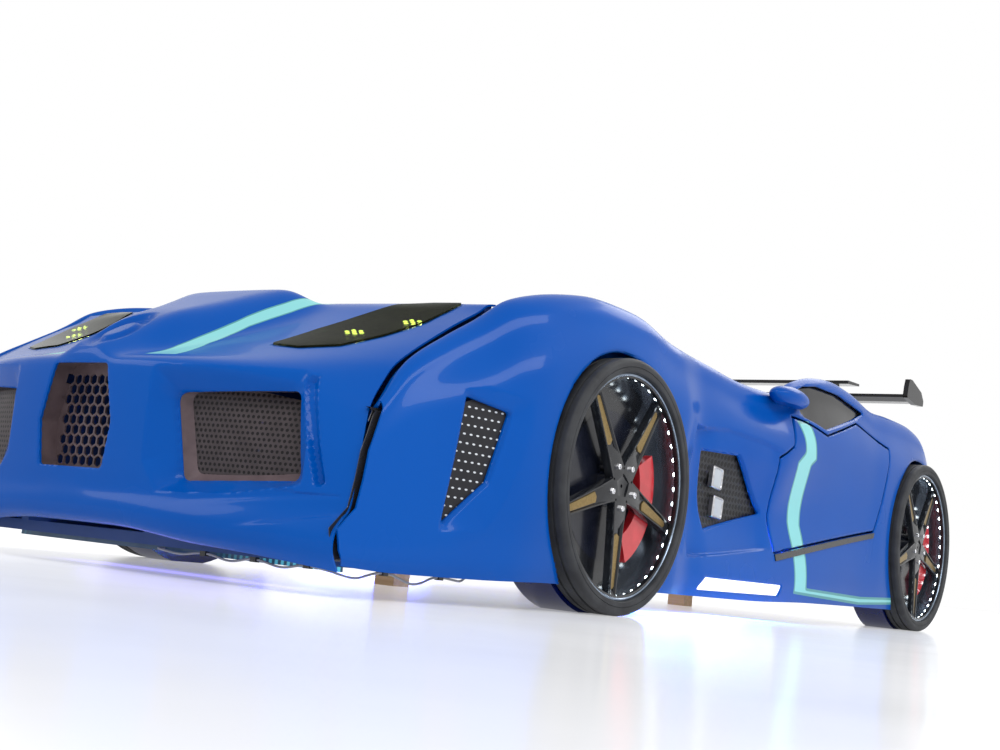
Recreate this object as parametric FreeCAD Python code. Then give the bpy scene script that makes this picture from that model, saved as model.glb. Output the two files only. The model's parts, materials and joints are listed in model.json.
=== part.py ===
"""Low racing-car bed for a child: thermoformed shells on a board frame with slats.

Millimetres. +Z is up, the nose points to -Y, and X = 0 is the plane of symmetry.
The origin is on the floor, midway between nose tip and tail and midway between the sides.
"""
import FreeCAD
import Part
import math
import os

V = FreeCAD.Vector

# ---------------------------------------------------------------- driving dimensions
BED_LENGTH = 2320.0          # nose tip to tail face
NOSE_TO_AXLE = 640.0         # nose tip to front wheel centre
WHEELBASE = 1450.0           # front wheel centre to rear wheel centre

WELL_WIDTH = 910.0           # between the side rails, for a 900 mm mattress
WELL_LENGTH = 1910.0         # between foot board and head board, for a 1900 mm mattress
RAIL_THICK = 14.0            # side rail board
END_THICK = 16.0             # head board and foot board
RAIL_BOTTOM = 120.0          # underside of the rails above the floor
RAIL_TOP = 370.0             # top edge of the rails
SLAT_TOP = 235.0             # face that the mattress lies on
SLAT_THICK = 15.0
SLAT_WIDTH = 70.0
SLAT_COUNT = 13
LEDGER_SIDE = 28.0           # square strip that carries the slat ends
BEAM_WIDTH = 60.0            # centre beam below the slats
BEAM_HEIGHT = 45.0
LEG_SIDE = 45.0              # centre legs

SKIN = 3.0                   # thermoformed sheet
SEAM_GAP = 2.0               # between nose shell and side shells
DOOR_GAP = 5.0               # shut line round a door

TYRE_RADIUS = 200.0
TYRE_WIDTH = 50.0
RIM_RADIUS = 177.0
WHEEL_HEIGHT = 200.0         # wheel centre above the floor
WHEEL_STANDOFF = 26.0        # rail face to the back of the tyre
FOOT_RADIUS = 204.0          # moulded foot behind each tyre
FOOT_INSET = 44.0            # how far the foot reaches in below the rail
ARCH_GAP = 9.0               # tyre to edge of the arch
RIM_DEPTH = 40.0
RIM_WALL = 5.0
SPOKE_COUNT = 5
HUB_RADIUS = 38.0
BOLT_CIRCLE = 35.0
SPOKE_ANGLE = -90.0          # first spoke, measured from +Y towards +Z
SPOKE_BACK = 24.0            # rim face to the back of the spokes
SPOKE_FRONT = 10.0           # rim face to their front
RIM_INSET = 6.0              # tyre face to rim face
LUG_RADIUS = 5.5
DISC_RADIUS = 118.0
DISC_THICK = 5.0
CALIPER_THICK = 18.0
CALIPER_RADII = (84.0, 130.0)
CALIPER_ANGLE = -18.0
CALIPER_HALF_ANGLE = 46.0

HINGE_INBOARD = 15.0         # rail face to door pivot
DOOR_PIVOT_AHEAD = 36.0      # foremost point of the shut line to the pivot
PIN_RADIUS = 2.5
KNUCKLE_RADIUS = 5.0
PIN_CLEARANCE = 0.15

WING_BLADE_Z = 568.0         # underside of the lower blade
WING_SPAN = 950.0
WING_CHORD = 108.0
WING_STRUT_X = 215.0
STRUT_THICK = 12.0

LEAD_RADIUS = 1.6            # low-voltage lead below the nose
FIT = 0.3                    # clearance between pieces that only lie side by side

# ---------------------------------------------------------------- derived places
NOSE_Y = -BED_LENGTH / 2
TAIL_Y = BED_LENGTH / 2
FRONT_AXLE_Y = NOSE_Y + NOSE_TO_AXLE
REAR_AXLE_Y = FRONT_AXLE_Y + WHEELBASE
WELL_REAR_Y = TAIL_Y - 26.0 - END_THICK
WELL_FRONT_Y = WELL_REAR_Y - WELL_LENGTH
HALF_WELL = WELL_WIDTH / 2
RAIL_OUT = HALF_WELL + RAIL_THICK
HEAD_OUT_Y = WELL_REAR_Y + END_THICK
FOOT_OUT_Y = WELL_FRONT_Y - END_THICK
TYRE_BACK = RAIL_OUT + WHEEL_STANDOFF
TYRE_FACE = TYRE_BACK + TYRE_WIDTH
WHEEL_CENTRES = {"front": FRONT_AXLE_Y, "rear": REAR_AXLE_Y}
SIDES = {"left": 1, "right": -1}      # the car's own left is +X

# Shape tables are written at these stations and follow them when they move.
DRAWN_STATIONS = (-1160.0, -520.0, 930.0, 1160.0)
REAL_STATIONS = (NOSE_Y, FRONT_AXLE_Y, REAR_AXLE_Y, TAIL_Y)
DRAWN_RAIL_OUT = 469.0

INSET = 9.0                  # skin face to the plate of a vent, intake or window
PLATE = 2.5                  # that plate, and the frame round it
FLANGE = 6.0                 # how far it reaches behind the skin round its opening

LENS_THICK = 2.5
LENS_LAND = 10.0             # lens edge that lies on the nose skin
LED_BOARD = 2.0
HEX_PITCH = 17.0             # centre grille
HEX_WEB = 3.0
RIB_X = 128.0                # boards that carry the nose skin
NOSE_FLOOR_TOP = 54.0
NOSE_FLOOR_HALF = 460.0

BRACKET_LEG = 45.0
BRACKET_THICK = 3.0
BRACKET_Z = (150.0, 190.0)
BOLT_HEAD = 6.5

ARM_Z = (248.0, 300.0)       # door hinge arm, bottom and top
ARM_THICK = 4.0
LUG_THICK = 4.0
HINGE_PLATE = 3.0

STRIP_HEIGHT = 12.0          # black strip below the door
STRIP_PROUD = 2.0
LAMP_SIDE = 38.0
MIRROR_CENTRE = (46.0, 128.0, 441.0)     # outward from the rail face, drawn y, z
MIRROR_RADII = (27.0, 78.0, 21.0)

CONTROL_BOX = (140.0, 60.0, 50.0)
CONTROL_BOX_X = -130.0
CONTROL_BOX_Z = 158.0
ROCKER_WIDTH = 19.0
ROCKER_HEIGHT = 20.0
ROCKER_DEEP = 8.0
TRUNNION_RADIUS = 1.5
GLOW_BAR = 7.0
CLIP_LENGTH = 10.0           # clip along the lead
CLIP_WIDTH = 8.0


# ---------------------------------------------------------------- curves and solids
def remap(value, old, new):
    """Carry a drawn position to its real place, in proportion between the stations."""
    last = len(old) - 2
    i = next((k for k in range(last) if value < old[k + 1]), last)
    share = (value - old[i]) / (old[i + 1] - old[i])
    return new[i] + share * (new[i + 1] - new[i])


def along(y):
    return remap(y, DRAWN_STATIONS, REAL_STATIONS)


def through(pairs, t):
    """Smooth curve through (position, value) pairs that never overshoots them."""
    if t <= pairs[0][0]:
        return pairs[0][1]
    if t >= pairs[-1][0]:
        return pairs[-1][1]
    i = next(k for k in range(len(pairs) - 1) if t < pairs[k + 1][0])

    def slope(k):
        return (pairs[k + 1][1] - pairs[k][1]) / (pairs[k + 1][0] - pairs[k][0])

    def tangent(k):
        if k == 0 or k == len(pairs) - 1:
            return slope(min(k, len(pairs) - 2))
        a, b = slope(k - 1), slope(k)
        return 0.0 if a * b <= 0 else 2 * a * b / (a + b)

    (x0, y0), (x1, y1) = pairs[i], pairs[i + 1]
    h = x1 - x0
    s = (t - x0) / h
    return (y0 * (1 + 2 * s) * (1 - s) ** 2 + y1 * s * s * (3 - 2 * s)
            + tangent(i) * h * s * (1 - s) ** 2 + tangent(i + 1) * h * s * s * (s - 1))


def box(x0, x1, y0, y1, z0, z1):
    return Part.makeBox(x1 - x0, y1 - y0, z1 - z0, V(x0, y0, z0))


def centred_box(cx, cy, cz, wx, wy, wz):
    return box(cx - wx / 2, cx + wx / 2, cy - wy / 2, cy + wy / 2, cz - wz / 2, cz + wz / 2)


def cylinder_x(x0, x1, y, z, radius):
    return Part.makeCylinder(radius, x1 - x0, V(x0, y, z), V(1, 0, 0))


def cylinder_z(x, y, z0, z1, radius):
    return Part.makeCylinder(radius, z1 - z0, V(x, y, z0), V(0, 0, 1))


def prism(points, push, corner=0.0):
    """Closed outline, with rounded corners where asked, pushed along a vector."""
    if corner:
        wire = rounded_wire(points, corner)
    else:
        wire = Part.makePolygon(points + [points[0]])
    return Part.Face(wire).extrude(push)


def rounded_wire(points, radius):
    edges = []
    count = len(points)
    cuts = []
    for i, point in enumerate(points):
        before = points[i - 1] - point
        after = points[(i + 1) % count] - point
        turn = before.getAngle(after)
        reach = radius / math.tan(turn / 2)
        reach = min(reach, 0.45 * before.Length, 0.45 * after.Length)
        size = reach * math.tan(turn / 2)
        a = V(before).normalize()
        b = V(after).normalize()
        middle = V(a + b).normalize()
        centre = point + middle * (size / math.sin(turn / 2))
        cuts.append((point + a * reach, centre - middle * size, point + b * reach))
    for i, (start, mid, end) in enumerate(cuts):
        edges.append(Part.Arc(start, mid, end).toShape())
        edges.append(Part.LineSegment(end, cuts[(i + 1) % count][0]).toShape())
    return Part.Wire(edges)


def yz_prism(pairs, x0, x1, corner=0.0):
    return prism([V(x0, y, z) for y, z in pairs], V(x1 - x0, 0, 0), corner)


def xz_prism(pairs, y0, y1, corner=0.0):
    return prism([V(x, y0, z) for x, z in pairs], V(0, y1 - y0, 0), corner)


def xy_prism(pairs, z0, z1, corner=0.0):
    return prism([V(x, y, z0) for x, y in pairs], V(0, 0, z1 - z0), corner)


def grid_face(grid):
    """Smooth face drawn towards a grid of points, which it never overshoots."""
    degree = 3
    knots, mults = [], []
    for count in (len(grid), len(grid[0])):
        spans = count - degree
        knots.append([float(k) for k in range(spans + 1)])
        mults.append([degree + 1] + [1] * (spans - 1) + [degree + 1])
    surface = Part.BSplineSurface()
    surface.buildFromPolesMultsKnots(grid, mults[0], mults[1], knots[0], knots[1],
                                     False, False, degree, degree)
    return surface.toShape()


def normals(grid):
    """Unit normals of a grid of points, by differences along its rows and columns."""
    rows, cols = len(grid), len(grid[0])
    result = []
    for i in range(rows):
        line = []
        for j in range(cols):
            du = grid[min(i + 1, rows - 1)][j] - grid[max(i - 1, 0)][j]
            dv = grid[i][min(j + 1, cols - 1)] - grid[i][max(j - 1, 0)]
            line.append(du.cross(dv).normalize())
        result.append(line)
    return result


def sheet_solid(grid, outer, inner):
    """Closed sheet between two offsets of a grid; positive is along the grid's normals."""
    across = normals(grid)

    def shifted(amount):
        return [[p + n * amount for p, n in zip(row, line)] for row, line in zip(grid, across)]

    top, bottom = shifted(outer), shifted(inner)
    face_a, face_b = grid_face(top), grid_face(bottom)

    walls = []
    for edge in face_a.Edges:
        middle = edge.CenterOfMass
        partner = min(face_b.Edges, key=lambda e: (e.CenterOfMass - middle).Length)
        walls.append(min((Part.makeRuledSurface(edge, partner, way) for way in (1, 2)),
                         key=lambda wall: wall.Area))
    compound = Part.makeCompound([face_a, face_b] + walls)
    compound.sewShape(0.01)
    solid = Part.Solid(compound.Shells[0])
    if solid.Volume < 0:
        solid.reverse()
    return solid


def mirrored(shape, side):
    return shape if side > 0 else shape.mirror(V(0, 0, 0), V(1, 0, 0))


def biggest(shape):
    return max(shape.Solids, key=lambda s: s.Volume)


def save(name, shape):
    solids = shape.Solids
    item = solids[0] if len(solids) == 1 else Part.makeCompound(solids)
    volume = sum(s.Volume for s in solids)
    size = item.BoundBox
    print("%-22s %2d solid  %9.1f cm3  x %.0f..%.0f y %.0f..%.0f z %.0f..%.0f %s" % (
        name, len(solids), volume / 1000, size.XMin, size.XMax, size.YMin, size.YMax,
        size.ZMin, size.ZMax, "" if item.isValid() else "INVALID"))
    item.exportStep("parts/%s.step" % name)
    return item


# ---------------------------------------------------------------- side shell surface
# Offsets are outward from the rail face; each table runs from nose to tail.
SILL_OUT = ((-1120, 9), (-1000, 23), (-850, 43), (-750, 57), (-330, 57), (-250, 48),
            (-196, 51), (130, 53), (520, 53), (720, 59), (1060, 57), (1134, 44))
MID_OUT = ((-1120, 10), (-1080, 13), (-950, 29), (-850, 45), (-740, 60), (-320, 61),
           (-258, 31), (-190, 21), (0, 26), (100, 36), (300, 39), (600, 51), (700, 60),
           (1060, 60), (1134, 40))
SHOULDER_OUT = ((-1120, 10), (-950, 25), (-850, 41), (-740, 57), (-320, 58), (-222, 42),
                (0, 58), (136, 66), (300, 61), (600, 55), (720, 60), (1060, 56), (1134, 36))
UPPER_OUT = ((-1120, 9), (-1057, 11), (-1008, 10), (-915, 11), (-841, 18), (-740, 36),
             (-560, 43), (-320, 38), (-200, 24), (0, 25), (136, 32), (422, 33), (670, 36),
             (1000, 34), (1134, 18))
CREST_OUT = ((-1120, -1), (-1057, 1), (-1008, -8), (-915, -11), (-841, -9), (-790, -5),
             (-676, 1), (-560, 6), (-455, 9), (-163, 5), (0, 7), (200, 11), (422, 9),
             (740, 13), (1000, 5), (1134, 0))
WALL_OUT = ((-1120, -11), (-1057, -9), (-1008, -18), (-915, -21), (-790, -18), (-676, -13),
            (1134, -13))
CREST_Z = ((-1120, 216), (-1090, 226), (-1057, 243), (-1008, 306), (-915, 365), (-841, 408),
           (-811, 431), (-780, 446), (-676, 475), (-560, 491), (-455, 490), (-335, 467),
           (-163, 456), (-15, 446), (105, 447), (190, 482), (306, 512), (422, 522),
           (520, 515), (670, 491), (740, 494), (885, 495), (990, 484), (1050, 450),
           (1100, 412), (1134, 398))
BOTTOM_Z = ((-1120, 41), (-1000, 36), (-850, 37), (-680, 41), (0, 39), (310, 44), (1134, 46))
SEAM_YZ = ((-1095, 41), (-1107, 58), (-1114, 84), (-1087, 112), (-1080, 150), (-1076, 185),
           (-1053, 242))
SIDE_STATIONS = ((-1120, -1090, 3), (-1090, -780, 12), (-780, -320, 12), (-320, -180, 8),
                 (-180, 60, 7), (60, 740, 22), (740, 1134, 14))
SEAM_FLANGE = 12.0


def side_section(y):
    """Outline of the side shell at one drawn station: bottom edge, crest, inner wall."""
    z_low, z_crest = through(BOTTOM_Z, y), through(CREST_Z, y)
    sill, mid = through(SILL_OUT, y), through(MID_OUT, y)
    shoulder, upper = through(SHOULDER_OUT, y), through(UPPER_OUT, y)
    crest, wall = through(CREST_OUT, y), through(WALL_OUT, y)
    flank = ((0, sill - 8), (0.05, sill - 1), (0.1, sill), (0.38, mid), (0.72, shoulder),
             (0.9, upper))
    height = z_crest - z_low
    points = []
    for t in (0, 0.04, 0.08, 0.14, 0.2, 0.27, 0.34, 0.41, 0.48, 0.55, 0.62, 0.68, 0.74,
              0.8, 0.85):
        points.append((through(flank, t), z_low + t * height))
    for angle in (0, 18, 36, 54, 72, 90):
        a = math.radians(angle)
        points.append((crest + (upper - crest) * math.cos(a),
                       z_low + height * (0.9 + 0.1 * math.sin(a))))
    roll = min(crest - wall, 16.0)
    for angle in (35, 65, 90):
        a = math.radians(angle)
        points.append((wall + (crest - wall) * math.cos(a), z_crest - roll * math.sin(a)))
    share = max(0.0, min(1.0, (y + 811) / 60))
    foot = (1 - share) * (z_crest - roll - SEAM_FLANGE) + share * min(RAIL_TOP, z_crest - roll - 2)
    start = z_crest - roll
    for t in (0.35, 0.7, 1.0):
        points.append((wall, start + (foot - start) * t))
    return [V(RAIL_OUT + x, along(y), z) for x, z in points]


def side_grid():
    stations = []
    for start, end, count in SIDE_STATIONS:
        stations += [start + (end - start) * k / count for k in range(count)]
    stations.append(SIDE_STATIONS[-1][1])
    return [side_section(y) for y in stations]


def seam_prism(gap):
    """Everything behind the seam between nose and side, seen from the side."""
    line = [(along(y) + gap, z) for y, z in SEAM_YZ]
    top = (line[-1][0], 700.0)
    return yz_prism([(line[0][0], 0.0)] + line + [top, (TAIL_Y + 50, 700.0), (TAIL_Y + 50, 0.0)],
                    HALF_WELL - 40, RAIL_OUT + 120)


DOOR_OUTLINE = ((160, 408), (132, 345), (76, 316), (88, 200), (112, 134), (630, 215),
                (662, 283), (685, 350), (709, 412), (511, 443), (311, 390), (210, 404))
DOOR_FOREMOST = 76.0
STRIP_LINE = ((112, 134), (630, 215))
WINDOW_OUTLINE = ((190, 464), (240, 482), (308, 493), (430, 493), (576, 474), (511, 453),
                  (311, 402), (207, 416))
VENT_OUTLINE = ((-902, 282), (-817, 271), (-851, 170), (-931, 102))
INTAKE_OUTLINE = ((-204, 295), (-74, 301), (64, 205), (-162, 158))
SKIRT_SLOT = ((-183, 74), (145, 74), (133, 53), (-212, 51))
LAMP_SPOTS = ((-122, 254), (-98, 202))
FLANK_COLUMNS = 21           # columns of a section from the sill to the crest


def placed(outline):
    return [(along(y), z) for y, z in outline]


def grown(outline, amount):
    """Outline moved outward by an amount, with mitred corners."""
    count = len(outline)
    area = sum(outline[i - 1][0] * outline[i][1] - outline[i][0] * outline[i - 1][1]
               for i in range(count))
    turn = 1 if area > 0 else -1
    result = []
    for i in range(count):
        (ax, ay), (bx, by), (cx, cy) = outline[i - 1], outline[i], outline[(i + 1) % count]
        n1 = (turn * (by - ay), -turn * (bx - ax))
        n2 = (turn * (cy - by), -turn * (cx - bx))
        l1, l2 = math.hypot(*n1), math.hypot(*n2)
        n1, n2 = (n1[0] / l1, n1[1] / l1), (n2[0] / l2, n2[1] / l2)
        scale = amount / (1 + n1[0] * n2[0] + n1[1] * n2[1])
        result.append((bx + (n1[0] + n2[0]) * scale, by + (n1[1] + n2[1]) * scale))
    return result


def flank_prism(outline, corner=0.0, x0=None, x1=None):
    return yz_prism(outline, x0 if x0 is not None else RAIL_OUT + 14.0,
                    x1 if x1 is not None else RAIL_OUT + 120.0, corner)


def patch(grid, outline):
    """Part of the side grid round an outline, with rows to spare."""
    low = min(y for y, z in outline) - 120
    high = max(y for y, z in outline) + 120
    return [row[:FLANK_COLUMNS] for row in grid if low < row[0].y < high]


def inset(grid, outline, corner):
    """Plate parallel to the skin behind an opening, with a frame that meets the skin's back."""
    local = patch(grid, outline)
    wide = flank_prism(grown(outline, FLANGE), corner + FLANGE, RAIL_OUT + 2)
    inner = FLANGE - PLATE
    hollow = flank_prism(grown(outline, inner), corner + inner, RAIL_OUT + 2)
    frame = sheet_solid(local, -SKIN, -INSET).common(wide.cut(hollow))
    plate = sheet_solid(local, -INSET, -INSET - PLATE).common(wide)
    return biggest(frame.fuse(plate).removeSplitter())


# ---------------------------------------------------------------- nose shell surface
# One row per step from the lower edge over the lip and hood to the rear edge:
# centre (y, z), seam (y, z), seam offset outward from the rail face.
NOSE_ROWS = (((-1128, 60), (-1098, 41), 4), ((-1150, 62), (-1112, 56), 6),
             ((-1158, 72), (-1117, 70), 7), ((-1160, 86), (-1115, 86), 7),
             ((-1156, 98), (-1102, 100), 7), ((-1151, 110), (-1089, 114), 6),
             ((-1152, 140), (-1082, 145), 5), ((-1154, 180), (-1078, 180), 3),
             ((-1156, 220), (-1067, 214), -4), ((-1157, 255), (-1056, 243), -11),
             ((-1157, 280), (-1045, 259), -14), ((-1153, 291), (-1036, 270), -16),
             ((-1140, 297), (-1022, 288), -18), ((-1110, 304), (-1006, 307), -21),
             ((-1075, 315), (-975, 328), -23), ((-1039, 330), (-950, 344), -24),
             ((-990, 351), (-920, 362), -25), ((-940, 376), (-890, 380), -26),
             ((-895, 401), (-862, 396), -26), ((-862, 422), (-842, 407), -25),
             ((-846, 430), (-832, 413), -24), ((-832, 434), (-822, 420), -23),
             ((-815, 437), (-814, 427), -23), ((-806, 438), (-806, 431), -23),
             ((-790, 439), (-790, 433), -23))
NOSE_COLUMNS = 33
DOME_WIDTH = ((-1160, 42), (-1100, 72), (-1000, 110), (-870, 172), (-830, 176))
DOME_RISE = ((-1165, 0), (-1150, 18), (-1100, 36), (-1038, 50), (-950, 46), (-866, 36),
             (-846, 0))


def ease(t):
    t = max(0.0, min(1.0, t))
    return t * t * (3 - 2 * t)


def dome_height(x, y):
    """Rise of the centre bulge above the hood."""
    half = through(DOME_WIDTH, y)
    side = 1 - ease((abs(x) - 0.62 * half) / (0.42 * half))
    return through(DOME_RISE, y) * side


def nose_grid():
    grid = []
    for (yc, zc), (ys, zs), out in NOSE_ROWS:
        row = []
        for k in range(NOSE_COLUMNS):
            u = -1 + 2 * k / (NOSE_COLUMNS - 1)
            share = abs(u) ** 2.4
            x = u * (RAIL_OUT + out)
            y = yc + (ys - yc) * share
            z = zc + (zs - zc) * share
            z += dome_height(x * DRAWN_RAIL_OUT / RAIL_OUT, y)
            row.append(V(x, along(y), z))
        grid.append(row)
    return grid


CENTRE_OPENING = ((-57, 282), (57, 282), (78, 200), (68, 135), (-68, 135), (-78, 200))
SIDE_OPENING = ((172, 247), (360, 258), (390, 141), (200, 128))
LENS_OUTLINE = ((238, -1024), (292, -1026), (344, -1000), (374, -948), (396, -890),
                (402, -812), (352, -816), (300, -836), (272, -893), (250, -950))


def front_tray(outline, floor_y, skin, corner, wall=2.5, flange=6.0, floor=3.0):
    wide = xz_prism(grown(outline, flange), NOSE_Y - 20, floor_y + floor, corner + flange)
    hollow = xz_prism(grown(outline, flange - wall), NOSE_Y - 20, floor_y, corner + flange - wall)
    tray = wide.cut(hollow).cut(skin)
    return max(tray.Solids, key=lambda s: s.CenterOfMass.y)


def hex_holes(x0, x1, z0, z1, y0, y1, pitch, web):
    """Staggered six-sided holes as one compound."""
    radius = (pitch - web) / math.sqrt(3)
    rise = pitch * math.sqrt(3) / 2
    cutters = []
    for row in range(int((z1 - z0) / rise) + 1):
        shift = pitch / 2 if row % 2 else 0.0
        for col in range(int((x1 - x0 - shift) / pitch) + 1):
            cx, cz = x0 + shift + col * pitch, z0 + row * rise
            corners = [(cx + radius * math.sin(math.radians(60 * k)),
                        cz + radius * math.cos(math.radians(60 * k))) for k in range(6)]
            cutters.append(xz_prism(corners, y0, y1))
    return cutters


# ---------------------------------------------------------------- frame
def make_frame():
    for name, side in SIDES.items():
        rail = box(HALF_WELL, RAIL_OUT, WELL_FRONT_Y - END_THICK, HEAD_OUT_Y, RAIL_BOTTOM, RAIL_TOP)
        save("side_rail_" + name, mirrored(rail, side))
    slat_bottom = SLAT_TOP - SLAT_THICK
    ledger = box(HALF_WELL - LEDGER_SIDE, HALF_WELL, WELL_FRONT_Y, WELL_REAR_Y,
                 slat_bottom - LEDGER_SIDE, slat_bottom)
    save("slat_ledgers", Part.makeCompound([mirrored(ledger, s) for s in SIDES.values()]))
    beam_bottom = slat_bottom - BEAM_HEIGHT
    save("centre_beam", box(-BEAM_WIDTH / 2, BEAM_WIDTH / 2, WELL_FRONT_Y, WELL_REAR_Y,
                            beam_bottom, slat_bottom))
    legs = []
    for share in (0.2, 0.5, 0.8):
        y = WELL_FRONT_Y + share * WELL_LENGTH
        legs.append(centred_box(0, y, beam_bottom / 2, LEG_SIDE, LEG_SIDE, beam_bottom))
    save("centre_legs", Part.makeCompound(legs))
    pitch = (WELL_LENGTH - SLAT_WIDTH) / (SLAT_COUNT - 1)
    slats = []
    for k in range(SLAT_COUNT):
        y0 = WELL_FRONT_Y + k * pitch
        slats.append(box(-HALF_WELL + FIT, HALF_WELL - FIT, y0 + FIT, y0 + SLAT_WIDTH - FIT,
                         slat_bottom, SLAT_TOP))
    save("slats", Part.makeCompound(slats))
    save("corner_brackets", Part.makeCompound(corner_brackets()))
    save("frame_bolts", Part.makeCompound(frame_bolts()))


def corner_places():
    for sx in (1, -1):
        for end, sy in ((WELL_FRONT_Y, 1), (WELL_REAR_Y, -1)):
            yield sx, end, sy


def corner_brackets():
    pieces = []
    z0, z1 = BRACKET_Z
    for sx, end, sy in corner_places():
        corner = [(sx * HALF_WELL, end), (sx * (HALF_WELL - BRACKET_LEG), end),
                  (sx * (HALF_WELL - BRACKET_LEG), end + sy * BRACKET_THICK),
                  (sx * (HALF_WELL - BRACKET_THICK), end + sy * BRACKET_THICK),
                  (sx * (HALF_WELL - BRACKET_THICK), end + sy * BRACKET_LEG),
                  (sx * HALF_WELL, end + sy * BRACKET_LEG)]
        pieces.append(xy_prism(corner, z0, z1))
    return pieces


def frame_bolts():
    pieces = []
    z = sum(BRACKET_Z) / 2
    reach = BRACKET_LEG * 0.6
    for sx, end, sy in corner_places():
        x = sx * (HALF_WELL - BRACKET_THICK)
        head = Part.makeCylinder(BOLT_HEAD, 4, V(x, end + sy * reach, z), V(-sx, 0, 0))
        y = end + sy * BRACKET_THICK
        other = Part.makeCylinder(BOLT_HEAD, 4, V(sx * (HALF_WELL - reach), y, z), V(0, sy, 0))
        pieces += [head, other]
    return pieces


# ---------------------------------------------------------------- wheels
def wheel_disc(x0, x1, radius, y):
    return cylinder_x(x0, x1, y, WHEEL_HEIGHT, radius)


def make_wheels():
    feet, discs, calipers, bolts, rings = [], [], [], [], []
    for end, y in WHEEL_CENTRES.items():
        for name, side in SIDES.items():
            tag = "_%s_%s" % (end, name)
            save("tyre" + tag, mirrored(tyre(y), side))
            save("rim" + tag, mirrored(rim(y), side))
            feet.append(mirrored(wheel_foot(y), side))
            discs.append(mirrored(brake_disc(y), side))
            calipers.append(mirrored(caliper(y), side))
            rings.append(mirrored(light_ring(y), side))
            bolts += [mirrored(b, side) for b in lug_bolts(y)]
    save("wheel_feet", Part.makeCompound(feet))
    save("brake_discs", Part.makeCompound(discs))
    save("brake_calipers", Part.makeCompound(calipers))
    save("wheel_light_rings", Part.makeCompound(rings))
    save("lug_bolts", Part.makeCompound(bolts))


def wheel_foot(y):
    """Moulded drum: low part under the rail, tall part between rail and tyre."""
    tall = wheel_disc(RAIL_OUT, TYRE_BACK, FOOT_RADIUS, y)
    low = wheel_disc(RAIL_OUT - FOOT_INSET, TYRE_BACK, FOOT_RADIUS, y)
    floor_cut = box(0, TYRE_FACE, y - 300, y + 300, 0, RAIL_BOTTOM)
    wall_cut = box(0, TYRE_FACE, y - 300, y + 300, 0, RAIL_TOP - 10)
    return low.common(floor_cut).fuse(tall.common(wall_cut)).removeSplitter()


def tyre(y):
    """Tyre section turned about the axle, with rounded shoulders and a set-back inner wall."""
    half = TYRE_WIDTH / 2
    middle = (TYRE_BACK + TYRE_FACE) / 2
    shoulder = 7.0
    outline = [V(-half, 0, RIM_RADIUS), V(-half, 0, TYRE_RADIUS - shoulder),
               V(-half + shoulder, 0, TYRE_RADIUS), V(half - shoulder, 0, TYRE_RADIUS),
               V(half, 0, TYRE_RADIUS - shoulder), V(half, 0, RIM_RADIUS + 3),
               V(half - 3, 0, RIM_RADIUS)]
    face = Part.Face(Part.makePolygon(outline + [outline[0]]))
    body = face.revolve(V(0, 0, 0), V(1, 0, 0), 360)
    body.translate(V(middle, y, WHEEL_HEIGHT))
    return body


def rim(y):
    """Barrel with an outer lip, a hub and five tapering spokes."""
    front = TYRE_FACE - RIM_INSET
    back = front - RIM_DEPTH
    barrel = wheel_disc(back, front, RIM_RADIUS, y).cut(
        wheel_disc(back, front, RIM_RADIUS - RIM_WALL, y))
    body = barrel.fuse(wheel_disc(front - SPOKE_BACK, front - SPOKE_FRONT, HUB_RADIUS, y))
    reach = RIM_RADIUS - RIM_WALL / 2
    for k in range(SPOKE_COUNT):
        body = body.fuse(spoke(front, reach, spoke_angle(k), y))
    for cy, cz in bolt_places(y):
        body = body.cut(cylinder_x(front - SPOKE_FRONT - 7, front, cy, cz, LUG_RADIUS + 2))
    return body


def spoke_angle(k):
    return math.radians(SPOKE_ANGLE + 360 * k / SPOKE_COUNT)


def spoke(front, reach, angle, y):
    root = HUB_RADIUS / 2
    points = []
    for along_spoke, across in ((root, 19), (reach, 10), (reach, -10), (root, -19)):
        points.append((y + along_spoke * math.cos(angle) - across * math.sin(angle),
                       WHEEL_HEIGHT + along_spoke * math.sin(angle) + across * math.cos(angle)))
    return yz_prism(points, front - SPOKE_BACK, front - SPOKE_FRONT)


def bolt_places(y):
    for k in range(SPOKE_COUNT):
        angle = spoke_angle(k)
        yield y + BOLT_CIRCLE * math.cos(angle), WHEEL_HEIGHT + BOLT_CIRCLE * math.sin(angle)


def lug_bolts(y):
    base = TYRE_FACE - RIM_INSET - SPOKE_FRONT - 7.0
    return [cylinder_x(base, base + 8, cy, cz, LUG_RADIUS) for cy, cz in bolt_places(y)]


def brake_disc(y):
    """Disc on a short hub that carries the rim."""
    disc = wheel_disc(TYRE_BACK, TYRE_BACK + DISC_THICK, DISC_RADIUS, y)
    boss = wheel_disc(TYRE_BACK + DISC_THICK, TYRE_FACE - RIM_INSET - SPOKE_BACK,
                      HUB_RADIUS - 6, y)
    return disc.fuse(boss).removeSplitter()


def caliper(y):
    """Curved block that sits over the edge of the disc."""
    x0, x1 = TYRE_BACK, TYRE_BACK + CALIPER_THICK
    inner, outer = CALIPER_RADII
    edge = wheel_disc(x0, x1, outer, y).cut(wheel_disc(x0, x1, DISC_RADIUS + FIT, y))
    lobe = wheel_disc(x0 + DISC_THICK, x1, outer, y).cut(wheel_disc(x0, x1, inner, y))
    wedge = [(y, WHEEL_HEIGHT)]
    for share in (-1, -0.5, 0, 0.5, 1):
        a = math.radians(CALIPER_ANGLE + CALIPER_HALF_ANGLE * share)
        wedge.append((y + 220 * math.cos(a), WHEEL_HEIGHT + 220 * math.sin(a)))
    return biggest(edge.fuse(lobe).common(yz_prism(wedge, x0, x1)))


def light_ring(y):
    front = TYRE_FACE - RIM_INSET - 2.0
    inner = RIM_RADIUS - RIM_WALL
    return wheel_disc(front - 7, front, inner, y).cut(wheel_disc(front - 7, front, inner - 3, y))


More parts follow.
